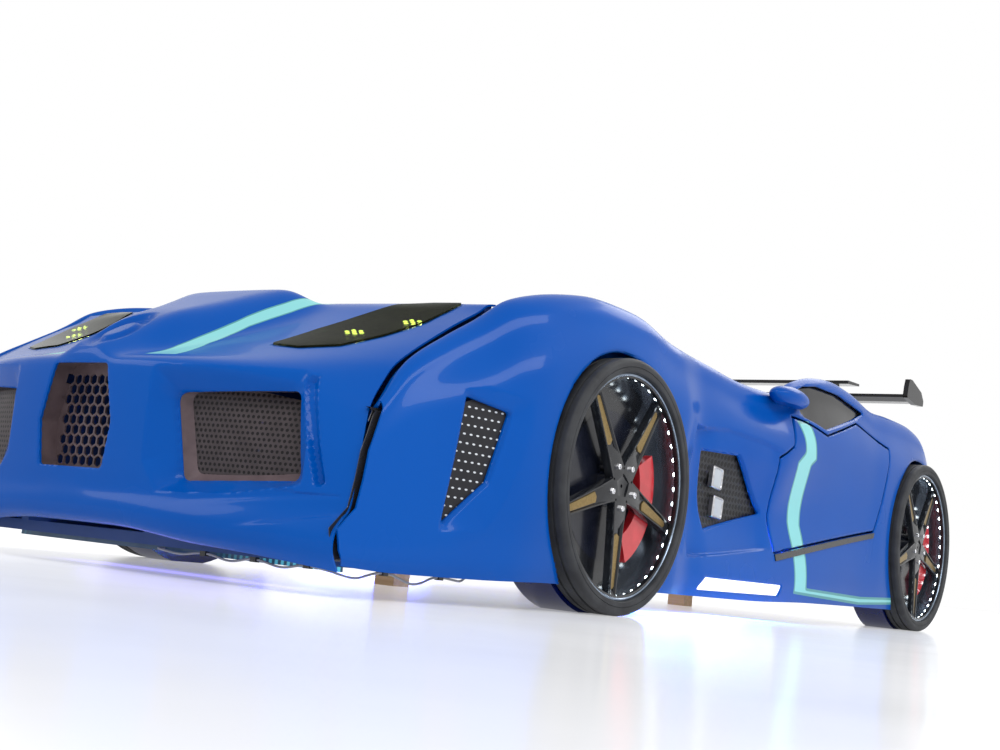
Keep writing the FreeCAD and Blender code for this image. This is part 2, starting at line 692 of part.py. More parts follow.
# ---------------------------------------------------------------- shells and what they hold
def make_sides(grid):
    skin = sheet_solid(grid, 0.0, -SKIN)
    arches = [wheel_disc(RAIL_OUT + 2, RAIL_OUT + 140, TYRE_RADIUS + ARCH_GAP, y)
              for y in WHEEL_CENTRES.values()]
    body = skin.common(seam_prism(SEAM_GAP))
    for arch in arches:
        body = body.cut(arch)
    door_line = placed(DOOR_OUTLINE)
    half_gap = DOOR_GAP / 2
    opening = flank_prism(grown(door_line, half_gap))
    door = skin.common(flank_prism(grown(door_line, -half_gap)))
    body = body.cut(opening)
    trays = {}
    for name, outline, corner in (("window", WINDOW_OUTLINE, 5.0),
                                  ("fender_vent", VENT_OUTLINE, 6.0),
                                  ("side_intake", INTAKE_OUTLINE, 5.0)):
        line = placed(outline)
        body = body.cut(flank_prism(line, corner, RAIL_OUT + 2))
        trays[name] = biggest(inset(grid, line, corner).cut(skin))
    body = body.cut(flank_prism(placed(SKIRT_SLOT), 4.0))
    body, door = biggest(body), biggest(door)
    for name, side in SIDES.items():
        save("side_shell_" + name, mirrored(body, side))
        save("door_" + name, mirrored(door, side))
        for tray_name, tray in trays.items():
            save("%s_%s" % (tray_name, name), mirrored(tray, side))
    return skin


def make_nose():
    grid = nose_grid()
    skin = sheet_solid(grid, 0.0, SKIN)
    body = skin
    trays = {}
    for name, outline, floor_y, corner in (("grille_centre", CENTRE_OPENING, -1118, 8.0),
                                           ("grille_left", SIDE_OPENING, -1082, 14.0)):
        wide = widened(outline)
        body = body.cut(xz_prism(wide, NOSE_Y - 20, along(-1040), corner))
        trays[name] = front_tray(wide, along(floor_y), skin, corner)
    body = body.cut(xz_prism(mirrored_pairs(widened(SIDE_OPENING)), NOSE_Y - 20,
                             along(-1040), 14.0))
    lens_line = [(x * RAIL_OUT / DRAWN_RAIL_OUT, along(y)) for x, y in LENS_OUTLINE]
    lens = sheet_solid(grid, -LENS_THICK, 0.0).common(xy_prism(lens_line, 250, 500, 4.0))
    board = sheet_solid(grid, SKIN, SKIN + LED_BOARD).common(
        xy_prism(grown(lens_line, -4.0), 250, 500, 4.0))
    window = xy_prism(grown(lens_line, -LENS_LAND), 250, 500, 4.0)
    body = body.cut(window).cut(mirrored(window, -1))
    save("nose_shell", biggest(body))
    hex_cut = hex_holes(-66, 66, 146, 274, along(-1125), along(-1105), HEX_PITCH, HEX_WEB)
    save("grille_centre", biggest(trays["grille_centre"].cut(Part.makeCompound(hex_cut))))
    for name, side in SIDES.items():
        save("grille_" + name, mirrored(trays["grille_left"], side))
        save("headlight_lens_" + name, mirrored(lens, side))
    save("headlight_leds", Part.makeCompound([mirrored(board, s) for s in SIDES.values()]))
    narrow = HALF_WELL - 15
    foot = xz_prism([(-HALF_WELL, RAIL_BOTTOM), (HALF_WELL, RAIL_BOTTOM), (HALF_WELL, RAIL_TOP),
                     (narrow, RAIL_TOP), (narrow, 470), (-narrow, 470), (-narrow, RAIL_TOP),
                     (-HALF_WELL, RAIL_TOP)], FOOT_OUT_Y, WELL_FRONT_Y)
    save("foot_board", lowest(foot.cut(skin)))
    lip_y, ahead = along(-1110), NOSE_Y - 20
    rib = yz_prism([(FOOT_OUT_Y, NOSE_FLOOR_TOP), (lip_y, NOSE_FLOOR_TOP), (lip_y, 70),
                    (ahead, 75), (ahead, 500), (FOOT_OUT_Y, 500)], RIB_X, RIB_X + END_THICK)
    rib = biggest(rib.cut(skin))
    save("nose_ribs", Part.makeCompound([mirrored(rib, s) for s in SIDES.values()]))
    save("nose_floor", box(-NOSE_FLOOR_HALF, NOSE_FLOOR_HALF, along(-1075), FOOT_OUT_Y,
                           NOSE_FLOOR_TOP - END_THICK, NOSE_FLOOR_TOP))


def widened(pairs):
    """Front outlines follow the width of the bed."""
    return [(x * RAIL_OUT / DRAWN_RAIL_OUT, z) for x, z in pairs]


def mirrored_pairs(pairs):
    return [(-x, z) for x, z in reversed(pairs)]


def lowest(shape):
    return min(shape.Solids, key=lambda q: q.CenterOfMass.z)


# ---------------------------------------------------------------- tail
TAIL_ROWS = (((1146, 52), (1137, 50), 36), ((1154, 62), (1137, 60), 43),
             ((1158, 80), (1137, 80), 45), ((1160, 130), (1137, 130), 43),
             ((1160, 190), (1137, 190), 41), ((1160, 250), (1137, 250), 39),
             ((1159, 300), (1137, 300), 34), ((1156, 335), (1137, 335), 26),
             ((1149, 362), (1137, 360), 16), ((1140, 378), (1137, 376), 6),
             ((1137, 386), (1137, 384), 2), ((1137, 392), (1137, 390), 0),
             ((1137, 398), (1137, 396), -2))
TAIL_COLUMNS = 41


def tail_grid():
    grid = []
    for (yc, zc), (ys, zs), out in TAIL_ROWS:
        row = []
        for k in range(TAIL_COLUMNS):
            u = math.sin(math.pi / 2 * (-1 + 2 * k / (TAIL_COLUMNS - 1)))
            share = abs(u) ** 7
            row.append(V(u * (RAIL_OUT + out), along(yc + (ys - yc) * share),
                         zc + (zs - zc) * share))
        grid.append(row)
    return grid


def make_tail():
    skin = sheet_solid(tail_grid(), 0.0, -SKIN)
    head = box(-HALF_WELL, HALF_WELL, WELL_REAR_Y, HEAD_OUT_Y, RAIL_BOTTOM, RAIL_TOP + 25)
    save("head_board", head.cut(skin))
    save("tail_shell", skin.cut(head))


# ---------------------------------------------------------------- wing
BLADE_SECTION = ((-50, 4), (-20, -3), (25, -2), (58, 9), (56, 15), (20, 8), (-20, 8), (-48, 12))
END_PLATE = ((-66, 2), (-60, 30), (-52, 50), (-32, 50), (40, 30), (60, 10), (58, -4), (0, -8))
UPPER_SECTION = ((-40, 0), (40, 6), (40, 12), (-38, 9))
UPPER_HALF = 310.0
UPPER_RISE = 38.0
WING_Y = 1006.0


def make_wing():
    y = along(WING_Y)
    half = WING_SPAN / 2 - STRUT_THICK
    lower = yz_prism([(y + a, WING_BLADE_Z + b) for a, b in BLADE_SECTION], -half, half)
    save("wing_blade", lower)
    plate = yz_prism([(y + a, WING_BLADE_Z + b) for a, b in END_PLATE], half, WING_SPAN / 2, 5.0)
    save("wing_end_plates", Part.makeCompound([mirrored(plate, s) for s in SIDES.values()]))
    upper = yz_prism([(y + a, WING_BLADE_Z + UPPER_RISE + b) for a, b in UPPER_SECTION],
                     -UPPER_HALF, UPPER_HALF)
    post = yz_prism([(y - 26, WING_BLADE_Z), (y + 24, WING_BLADE_Z),
                     (y + 30, WING_BLADE_Z + UPPER_RISE + 8), (y - 24, WING_BLADE_Z + UPPER_RISE + 4)],
                    UPPER_HALF - 60, UPPER_HALF - 50)
    posts = [mirrored(post, s) for s in SIDES.values()]
    upper = upper.fuse(posts).cut(lower)
    save("wing_upper_blade", biggest(upper))
    base_z = RAIL_TOP + 25
    strut = yz_prism([(WELL_REAR_Y, base_z), (HEAD_OUT_Y, base_z), (HEAD_OUT_Y - 6, base_z + 20),
                      (y + 50, WING_BLADE_Z + 20), (y - 30, WING_BLADE_Z + 20),
                      (WELL_REAR_Y - 16, base_z + 30)], WING_STRUT_X, WING_STRUT_X + STRUT_THICK)
    foot = box(WING_STRUT_X - 22, WING_STRUT_X + STRUT_THICK + 22, WELL_REAR_Y, HEAD_OUT_Y,
               base_z, base_z + 6)
    struts = []
    for side in SIDES.values():
        struts.append(mirrored(lowest(strut.fuse(foot).removeSplitter().cut(lower)), side))
    save("wing_struts", Part.makeCompound(struts))


# ---------------------------------------------------------------- door hinges
PIVOT_X = RAIL_OUT + HINGE_INBOARD
PIVOT_Y = along(DOOR_FOREMOST) - DOOR_PIVOT_AHEAD
ARM_PATH = ((0, 0), (-6, 9), (-10.5, 22), (-10.5, 52), (-2, 66), (40, 92))   # from the pivot


def strap(points, thick):
    """Outline of a bent strip of even thickness along a line of points."""
    count = len(points)
    left, right = [], []
    for i, (x, y) in enumerate(points):
        ax, ay = points[max(i - 1, 0)]
        bx, by = points[min(i + 1, count - 1)]
        length = math.hypot(bx - ax, by - ay)
        nx, ny = -(by - ay) / length, (bx - ax) / length
        left.append((x + nx * thick / 2, y + ny * thick / 2))
        right.append((x - nx * thick / 2, y - ny * thick / 2))
    return left + right[::-1]


def make_hinges(skin):
    z0, z1 = ARM_Z
    at = [(PIVOT_X + x, PIVOT_Y + y) for x, y in ARM_PATH]
    arm = xy_prism(strap(at, ARM_THICK), z0, z1)
    arm = arm.fuse(cylinder_z(PIVOT_X, PIVOT_Y, z0, z1, KNUCKLE_RADIUS))
    arm = arm.cut(cylinder_z(PIVOT_X, PIVOT_Y, z0, z1, PIN_RADIUS + PIN_CLEARANCE)).cut(skin)
    arm = biggest(arm)
    low, high = z0 - FIT - LUG_THICK, z1 + FIT + LUG_THICK
    plate = box(RAIL_OUT, RAIL_OUT + HINGE_PLATE, PIVOT_Y - 36, PIVOT_Y + KNUCKLE_RADIUS,
                low, high)
    for base in (low, high - LUG_THICK):
        lug = box(RAIL_OUT, PIVOT_X, PIVOT_Y - KNUCKLE_RADIUS, PIVOT_Y + KNUCKLE_RADIUS,
                  base, base + LUG_THICK)
        lug = lug.fuse(cylinder_z(PIVOT_X, PIVOT_Y, base, base + LUG_THICK, KNUCKLE_RADIUS))
        plate = plate.fuse(lug)
    plate = plate.cut(cylinder_z(PIVOT_X, PIVOT_Y, low, high, PIN_RADIUS)).removeSplitter()
    pin = cylinder_z(PIVOT_X, PIVOT_Y, low - 1, high, PIN_RADIUS).fuse(
        cylinder_z(PIVOT_X, PIVOT_Y, high, high + 2, KNUCKLE_RADIUS - 1)).removeSplitter()
    for name, side in SIDES.items():
        save("door_hinge_arm_" + name, mirrored(arm, side))
    save("door_hinge_brackets", Part.makeCompound([mirrored(plate, s) for s in SIDES.values()]))
    save("door_hinge_pins", Part.makeCompound([mirrored(pin, s) for s in SIDES.values()]))
    print("door pivot", PIVOT_X, PIVOT_Y)


# ---------------------------------------------------------------- trim on the sides
def make_side_trim(skin, grid):
    (ya, za), (yb, zb) = placed(STRIP_LINE)
    drop = DOOR_GAP / 2 + FIT
    outline = [(ya - 2, za - drop), (yb, zb - drop), (yb - 4, zb - drop - STRIP_HEIGHT),
               (ya, za - drop - STRIP_HEIGHT)]
    strip = sheet_solid(patch(grid, outline), STRIP_PROUD, 0.0).common(flank_prism(outline))
    slot = placed(SKIRT_SLOT)
    panel = sheet_solid(patch(grid, slot), -SKIN, -SKIN - 2.0).common(
        flank_prism(grown(slot, 6.0), 4.0))
    mirror = mirror_shell().cut(skin)
    mirror = max(mirror.Solids, key=lambda q: q.CenterOfMass.x)
    block = sheet_solid(patch(grid, placed(INTAKE_OUTLINE)), -1.0, -INSET)
    lamps = []
    for y, z in LAMP_SPOTS:
        half = LAMP_SIDE / 2
        face = [(along(y) - half, z - half), (along(y) + half, z - half),
                (along(y) + half, z + half), (along(y) - half, z + half)]
        lamps.append(block.common(flank_prism(face, 4.0, RAIL_OUT + 2)))
    for name, piece in (("sill_strips", strip), ("mirrors", mirror),
                        ("skirt_light_panels", panel)):
        save(name, Part.makeCompound([mirrored(piece, s) for s in SIDES.values()]))
    save("side_lamps", Part.makeCompound([mirrored(b, s) for s in SIDES.values() for b in lamps]))


def mirror_shell():
    """Rounded pod, flat-cut above the door."""
    out, y, z = MIRROR_CENTRE
    ball = Part.makeSphere(1.0)
    matrix = FreeCAD.Matrix()
    matrix.scale(*MIRROR_RADII)
    pod = ball.transformGeometry(matrix)
    pod.translate(V(RAIL_OUT + out, along(y), z))
    floor = z - MIRROR_RADII[2] + 6.0
    keep = box(RAIL_OUT, RAIL_OUT + 120, along(y) - 120, along(y) + 120, floor, z + 60)
    return pod.common(keep)


# ---------------------------------------------------------------- electrics
def make_electrics():
    wide, deep, high = CONTROL_BOX
    y_face = WELL_REAR_Y - deep
    body = box(CONTROL_BOX_X - wide / 2, CONTROL_BOX_X + wide / 2, y_face, WELL_REAR_Y,
               CONTROL_BOX_Z - high / 2, CONTROL_BOX_Z + high / 2)
    pocket_wide, pocket_high = ROCKER_WIDTH + 2 * FIT, ROCKER_HEIGHT + 4.0
    pocket = centred_box(CONTROL_BOX_X, y_face + 9, CONTROL_BOX_Z, pocket_wide, 18, pocket_high)
    pivot_y = y_face + ROCKER_DEEP
    hole = cylinder_x(CONTROL_BOX_X - pocket_wide / 2 - 3, CONTROL_BOX_X + pocket_wide / 2 + 3,
                      pivot_y, CONTROL_BOX_Z, TRUNNION_RADIUS + PIN_CLEARANCE)
    save("control_box", body.cut(pocket).cut(hole).removeSplitter())
    half = ROCKER_HEIGHT / 2
    profile = [(pivot_y - 3, CONTROL_BOX_Z - half), (y_face - 2, CONTROL_BOX_Z - half),
               (y_face + 1, CONTROL_BOX_Z), (y_face - 2, CONTROL_BOX_Z + half),
               (pivot_y - 3, CONTROL_BOX_Z + half)]
    x0, x1 = CONTROL_BOX_X - ROCKER_WIDTH / 2, CONTROL_BOX_X + ROCKER_WIDTH / 2
    rocker = yz_prism(profile, x0, x1).fuse(cylinder_x(x0, x1, pivot_y, CONTROL_BOX_Z, 6.0))
    trunnion = cylinder_x(x0 - 2.5, x1 + 2.5, pivot_y, CONTROL_BOX_Z, TRUNNION_RADIUS)
    save("power_switch", rocker.fuse(trunnion).removeSplitter())
    print("switch pivot", CONTROL_BOX_X, pivot_y, CONTROL_BOX_Z)
    floor_under = NOSE_FLOOR_TOP - END_THICK
    bars = [box(-230, 430, along(GLOW_BAR_Y), along(GLOW_BAR_Y) + GLOW_BAR,
                floor_under - GLOW_BAR, floor_under)]
    for side in SIDES.values():
        bars.append(mirrored(box(HALF_WELL + 3, HALF_WELL + 3 + GLOW_BAR, along(-290), along(680),
                                 RAIL_BOTTOM - GLOW_BAR, RAIL_BOTTOM), side))
    save("underglow_bars", Part.makeCompound(bars))


# ---------------------------------------------------------------- lead below the nose
# It leaves the light bar, sags between its clips and ends at the foot board.
GLOW_BAR_Y = -1045.0
LEAD_POINTS = ((100, -1045, 34.5), (100, -1060, 34.5), (150, -1060, 29), (186, -1060, 34.5),
               (210, -1060, 34.5), (248, -1060, 27), (284, -1060, 34.5), (304, -1060, 34.5),
               (345, -1060, 27), (378, -1060, 34.5), (402, -1060, 34.5), (436, -1056, 29),
               (448, -1035, 24), (448, -990, 34.5), (448, -966, 34.5), (448, -912, 20),
               (448, -870, 34.5), (448, -846, 34.5))
LEAD_END = ((448, -8, 30), (448, 6, 60), (448, 6, 136))      # y from the foot board's face
CLIP_SPOTS = ((198, -1060, 0), (294, -1060, 0), (390, -1060, 0), (448, -978, 90),
              (448, -858, 90))
TOP_CLIP_Z = 130.0


def lead_wire(points):
    """Straight runs joined by tangent arcs."""
    points = [V(*p) for p in points]
    edges = []
    start = points[0]
    for i in range(1, len(points) - 1):
        before, after = points[i - 1] - points[i], points[i + 1] - points[i]
        run = min(before.Length, after.Length)
        inner = before.getAngle(after)
        radius = 0.45 * run / math.tan((math.pi - inner) / 2)
        reach = 0.45 * run
        a, b = V(before).normalize(), V(after).normalize()
        middle = V(a + b).normalize()
        centre = points[i] + middle * (radius / math.sin(inner / 2))
        first, last = points[i] + a * reach, points[i] + b * reach
        edges.append(Part.LineSegment(start, first).toShape())
        edges.append(Part.Arc(first, centre - middle * radius, last).toShape())
        start = last
    edges.append(Part.LineSegment(start, points[-1]).toShape())
    return Part.Wire(edges)


def make_lead():
    points = [(x, along(y), z) for x, y, z in LEAD_POINTS]
    points += [(x, WELL_FRONT_Y + y, z) for x, y, z in LEAD_END]
    path = lead_wire(points)
    start, ahead = V(*points[0]), V(*points[1]) - V(*points[0])
    ring = Part.Wire(Part.makeCircle(LEAD_RADIUS, start, ahead))
    lead = path.makePipeShell([ring], True, False)
    under = NOSE_FLOOR_TOP - END_THICK
    clips = []
    for x, y, turn in CLIP_SPOTS:
        wide, deep = (CLIP_LENGTH, CLIP_WIDTH) if turn == 0 else (CLIP_WIDTH, CLIP_LENGTH)
        low = under - 3.5 - LEAD_RADIUS - 2.0
        clips.append(centred_box(x, along(y), (under + low) / 2, wide, deep, under - low))
    x, y, z = points[-1]
    clips.append(box(x - CLIP_WIDTH / 2, x + CLIP_WIDTH / 2, WELL_FRONT_Y,
                     y + LEAD_RADIUS + 2, TOP_CLIP_Z - CLIP_LENGTH / 2,
                     TOP_CLIP_Z + CLIP_LENGTH / 2))
    save("light_lead", lead)
    save("lead_clips", Part.makeCompound([clip.cut(lead) for clip in clips]))
    print("lead length %.0f mm, volume over area %.0f mm" % (
        path.Length, lead.Volume / (math.pi * LEAD_RADIUS ** 2)))


def main():
    os.makedirs("parts", exist_ok=True)
    make_frame()
    make_wheels()
    grid = side_grid()
    skin = make_sides(grid)
    make_hinges(skin)
    make_side_trim(skin, grid)
    make_nose()
    make_tail()
    make_wing()
    make_electrics()
    make_lead()


main()
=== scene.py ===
"""Looks of the racing-car bed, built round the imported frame. Tables are in millimetres."""
import json
import math

import bpy
import bmesh
import numpy as np
from mathutils import Matrix, Vector

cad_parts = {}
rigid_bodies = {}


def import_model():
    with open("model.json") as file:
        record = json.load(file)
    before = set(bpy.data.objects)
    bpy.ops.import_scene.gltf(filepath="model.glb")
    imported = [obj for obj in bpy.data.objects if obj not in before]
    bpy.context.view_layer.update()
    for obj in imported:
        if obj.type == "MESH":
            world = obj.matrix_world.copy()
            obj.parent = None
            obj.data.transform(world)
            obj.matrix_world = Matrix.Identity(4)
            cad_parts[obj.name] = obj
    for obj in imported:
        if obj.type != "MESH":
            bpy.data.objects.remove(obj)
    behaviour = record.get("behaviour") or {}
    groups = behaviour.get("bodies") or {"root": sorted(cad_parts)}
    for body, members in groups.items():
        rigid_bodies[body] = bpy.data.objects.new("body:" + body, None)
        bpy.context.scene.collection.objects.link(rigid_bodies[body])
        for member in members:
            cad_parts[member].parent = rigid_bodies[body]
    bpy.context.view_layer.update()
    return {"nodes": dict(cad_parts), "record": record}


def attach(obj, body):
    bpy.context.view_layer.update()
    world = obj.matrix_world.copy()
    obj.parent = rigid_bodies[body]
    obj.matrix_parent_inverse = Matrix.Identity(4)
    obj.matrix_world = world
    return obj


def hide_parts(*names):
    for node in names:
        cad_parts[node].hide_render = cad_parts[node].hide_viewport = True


for left_over in list(bpy.data.objects):
    bpy.data.objects.remove(left_over)
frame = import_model()
NODES = frame["nodes"]

MM = 0.001
RAIL_OUT = 469.0
SKIN = 3.0
FRONT_AXLE_Y, REAR_AXLE_Y = -520.0, 930.0
WHEEL_Z = 200.0
TYRE_RADIUS, ARCH_RADIUS = 200.0, 209.0
TYRE_BACK, TYRE_FACE = 495.0, 545.0
RIM_FACE = TYRE_FACE - 6.0
RIM_RADIUS, RIM_WALL, RIM_DEPTH = 177.0, 5.0, 40.0
SPOKE_COUNT = 5
SPOKE_ANGLE = -90.0
SPOKE_BACK, SPOKE_FRONT = 24.0, 10.0
HUB_RADIUS = 38.0
BOLT_CIRCLE = 35.0
DISC_RADIUS = 118.0
LED_COUNT = 44
LED_IN, LED_LAND = 9.0, 0.4                 # behind the rim's face, off the barrel's wall
LED_STUD = ((3.8, 0.0), (3.6, 1.4), (2.2, 2.6))
SIDES = {"left": 1, "right": -1}


# ---------------------------------------------------------------- camera
def make_camera():
    """Camera at the photograph's place, angle and focal length."""
    yaw, pitch, roll = 0.6215, 0.1345, 0.1039
    focal_px, width_px = 1351.96, 1000.0
    ahead = Vector((-math.sin(yaw) * math.cos(pitch), math.cos(yaw) * math.cos(pitch),
                    math.sin(pitch)))
    right = Vector((math.cos(yaw), math.sin(yaw), 0))
    up = right.cross(ahead)
    x_axis = right * math.cos(roll) + up * math.sin(roll)
    y_axis = up * math.cos(roll) - right * math.sin(roll)
    data = bpy.data.cameras.new("camera")
    data.sensor_width = 36.0
    data.sensor_fit = "HORIZONTAL"
    data.lens = 36.0 * focal_px / width_px
    data.clip_start, data.clip_end = 0.05, 60.0
    camera = bpy.data.objects.new("camera", data)
    bpy.context.scene.collection.objects.link(camera)
    matrix = Matrix((x_axis, y_axis, -ahead)).transposed().to_4x4()
    matrix.translation = Vector((1588.9, -2357.4, 68.5)) * MM
    camera.matrix_world = matrix
    bpy.context.scene.camera = camera


# ---------------------------------------------------------------- materials
SOCKETS = {"specular": "Specular IOR Level", "ior": "IOR"}
LIGHT_PITCH = 0.011                     # along the strip, in metres
STRIP_DARK = 0.20                       # half length of its unlit middle, in metres


class Nodes:
    """Small helper for building a material's node tree."""

    def __init__(self, name):
        self.material = bpy.data.materials.new(name)
        self.material.use_nodes = True
        self.tree = self.material.node_tree
        self.shader = self.tree.nodes["Principled BSDF"]

    def add(self, kind, **values):
        node = self.tree.nodes.new(kind)
        for key, value in values.items():
            setattr(node, key, value)
        return node

    def set(self, **values):
        """Constants on the shader's own sockets, as coat_weight=0.1 for Coat Weight."""
        for key, value in values.items():
            socket = SOCKETS.get(key, key.replace("_", " ").title())
            self.shader.inputs[socket].default_value = value

    def link(self, source, target):
        self.tree.links.new(source, target)

    def noise(self, scale, detail=4.0, stretch=(1, 1, 1)):
        place = self.add("ShaderNodeTexCoord")
        mapping = self.add("ShaderNodeMapping")
        mapping.inputs["Scale"].default_value = stretch
        self.link(place.outputs["Object"], mapping.inputs["Vector"])
        noise = self.add("ShaderNodeTexNoise")
        noise.inputs["Scale"].default_value = scale
        noise.inputs["Detail"].default_value = detail
        self.link(mapping.outputs["Vector"], noise.inputs["Vector"])
        return noise.outputs["Fac"]

    def ramp(self, source, low, high, low_at=0.35, high_at=0.65):
        ramp = self.add("ShaderNodeValToRGB")
        ramp.color_ramp.elements[0].position = low_at
        ramp.color_ramp.elements[1].position = high_at
        ramp.color_ramp.elements[0].color = (*low, 1)
        ramp.color_ramp.elements[1].color = (*high, 1)
        self.link(source, ramp.inputs["Fac"])
        return ramp.outputs["Color"]

    def bump(self, source, strength, distance):
        bump = self.add("ShaderNodeBump")
        bump.inputs["Strength"].default_value = strength
        bump.inputs["Distance"].default_value = distance
        self.link(source, bump.inputs["Height"])
        self.link(bump.outputs["Normal"], self.shader.inputs["Normal"])

    def roughness(self, source, low, high):
        spread = self.add("ShaderNodeMapRange")
        spread.inputs["To Min"].default_value = low
        spread.inputs["To Max"].default_value = high
        self.link(source, spread.inputs["Value"])
        self.link(spread.outputs["Result"], self.shader.inputs["Roughness"])

    def mix(self, factor, low, high):
        """Colour mix; low and high are sockets or plain colours."""
        mix = self.add("ShaderNodeMix", data_type="RGBA")
        self.link(factor, mix.inputs["Factor"])
        for value, socket in ((low, mix.inputs[6]), (high, mix.inputs[7])):
            if isinstance(value, tuple):
                socket.default_value = (*value, 1)
            else:
                self.link(value, socket)
        return mix.outputs[2]

    def step(self, source, start, width):
        """0 below start, 1 above start + width."""
        step = self.add("ShaderNodeMapRange")
        step.inputs["From Min"].default_value = start
        step.inputs["From Max"].default_value = start + width
        self.link(source, step.inputs["Value"])
        return step.outputs["Result"]

    def math(self, operation, first, second=None):
        """Math node's result; each value is a socket or a number."""
        node = self.add("ShaderNodeMath", operation=operation)
        for value, socket in zip((first, second), node.inputs):
            if isinstance(value, (int, float)):
                socket.default_value = value
            elif value is not None:
                self.link(value, socket)
        return node.outputs[0]

    def place(self):
        """Object coordinates as three sockets."""
        place = self.add("ShaderNodeTexCoord")
        split = self.add("ShaderNodeSeparateXYZ")
        self.link(place.outputs["Object"], split.inputs["Vector"])
        return list(split.outputs)

    def attribute(self, name):
        return self.add("ShaderNodeAttribute", attribute_name=name).outputs["Fac"]


def plain(name, low, high, rough, scale=30.0, metallic=0.0, coat=0.0, bump=(200.0, 0.05, 0.0005),
          stretch=(1, 1, 1)):
    """Moulded or metal finish: two close tones, uneven roughness and a fine surface grain."""
    m = Nodes(name)
    tone = m.noise(scale, 3.0, stretch)
    m.link(m.ramp(tone, low, high), m.shader.inputs["Base Color"])
    m.roughness(m.noise(scale * 1.7, 4.0, stretch), *rough)
    m.set(metallic=metallic, coat_weight=coat, coat_roughness=0.04, specular=0.25)
    m.bump(m.noise(bump[0], 5.0, stretch), *bump[1:])
    return m


def paint():
    """Glossy blue sheet with pale teal stripes, which a distance stored on the mesh bounds."""
    m = Nodes("shell_paint")
    blue = m.ramp(m.noise(2.5, 2.0), (0.0, 0.072, 0.37), (0.0, 0.084, 0.41))
    stripe = m.attribute("stripe")
    edge = m.step(stripe, 0.05, 0.4)
    core = m.step(stripe, 5.0, 1.0)
    band = m.mix(core, (0.10, 0.33, 0.33), (0.27, 0.66, 0.66))
    m.link(m.mix(edge, blue, band), m.shader.inputs["Base Color"])
    m.roughness(m.noise(6.0, 3.0), 0.22, 0.30)
    m.set(coat_weight=0.12, coat_roughness=0.02, specular=0.05)
    m.bump(m.noise(14.0, 2.0), 0.03, 0.002)
    return m.material


def emissive(name, colour, strength, base=(0.8, 0.85, 0.9)):
    m = plain(name, base, tuple(0.95 * c for c in base), (0.25, 0.35))
    m.set(emission_color=(*colour, 1), emission_strength=strength)
    return m.material


def wood(name, dark, light, along):
    stretch = [18.0, 18.0, 18.0]
    stretch["XYZ".index(along)] = 0.9
    m = Nodes(name)
    grain = m.noise(6.0, 8.0, tuple(stretch))
    m.link(m.ramp(grain, dark, light, 0.3, 0.7), m.shader.inputs["Base Color"])
    m.roughness(grain, 0.5, 0.65)
    m.bump(grain, 0.15, 0.0006)
    return m.material


def diffuser():
    """Milky panel lit from behind."""
    m = plain("skirt_diffuser", (0.55, 0.55, 0.9), (0.65, 0.65, 0.95), (0.3, 0.4))
    m.set(emission_strength=1.0)
    return m.material


def light_strip():
    """Strip of small blue lights in a clear jacket, unlit in the middle of the nose."""
    m = plain("light_strip", (0.05, 0.10, 0.16), (0.08, 0.14, 0.2), (0.2, 0.3))
    x, y, _ = m.place()
    waves = [m.math("COSINE", m.math("MULTIPLY", axis, math.tau / LIGHT_PITCH))
             for axis in (x, y)]
    dots = m.mix(m.step(m.math("ADD", *waves), 0.6, 0.9), (0.0, 0.03, 0.06), (0.12, 0.72, 1.0))
    lit = m.step(m.math("ABSOLUTE", x), STRIP_DARK, 0.22)
    m.link(m.mix(lit, (0.0, 0.004, 0.01), dots), m.shader.inputs["Emission Color"])
    m.set(emission_strength=0.7)
    return m.material


def perforated(name, plate, hole, cell, size, axes, flat=1.0):
    """Dark plate with staggered rows of small holes, drawn in the plane of two axes."""
    m = Nodes(name)
    place = m.place()
    across, up = [m.math("MULTIPLY", place["XYZ".index(axis)], 1.0 / cell) for axis in axes]
    shifted = m.math("ADD", across, m.math("MULTIPLY", m.math("FLOOR", up), 0.5))
    squares = []
    for source, squeeze in ((shifted, 1.0), (up, flat)):
        centred = m.math("SUBTRACT", m.math("FRACT", source), 0.5)
        squares.append(m.math("POWER", m.math("MULTIPLY", centred, squeeze), 2.0))
    solid = m.step(m.math("SQRT", m.math("ADD", *squares)), size, 0.06)
    tone = m.ramp(m.noise(40.0), plate, tuple(1.25 * c for c in plate))
    m.link(m.mix(solid, hole, tone), m.shader.inputs["Base Color"])
    m.set(specular=0.2)
    m.roughness(m.noise(30.0), 0.3, 0.45)
    m.bump(solid, 0.6, 0.0012)
    return m.material


def smoked():
    m = plain("smoked_lens", (0.05, 0.058, 0.03), (0.07, 0.08, 0.04), (0.03, 0.06))
    m.set(transmission_weight=0.85, ior=1.05, specular=0.1)
    return m.material


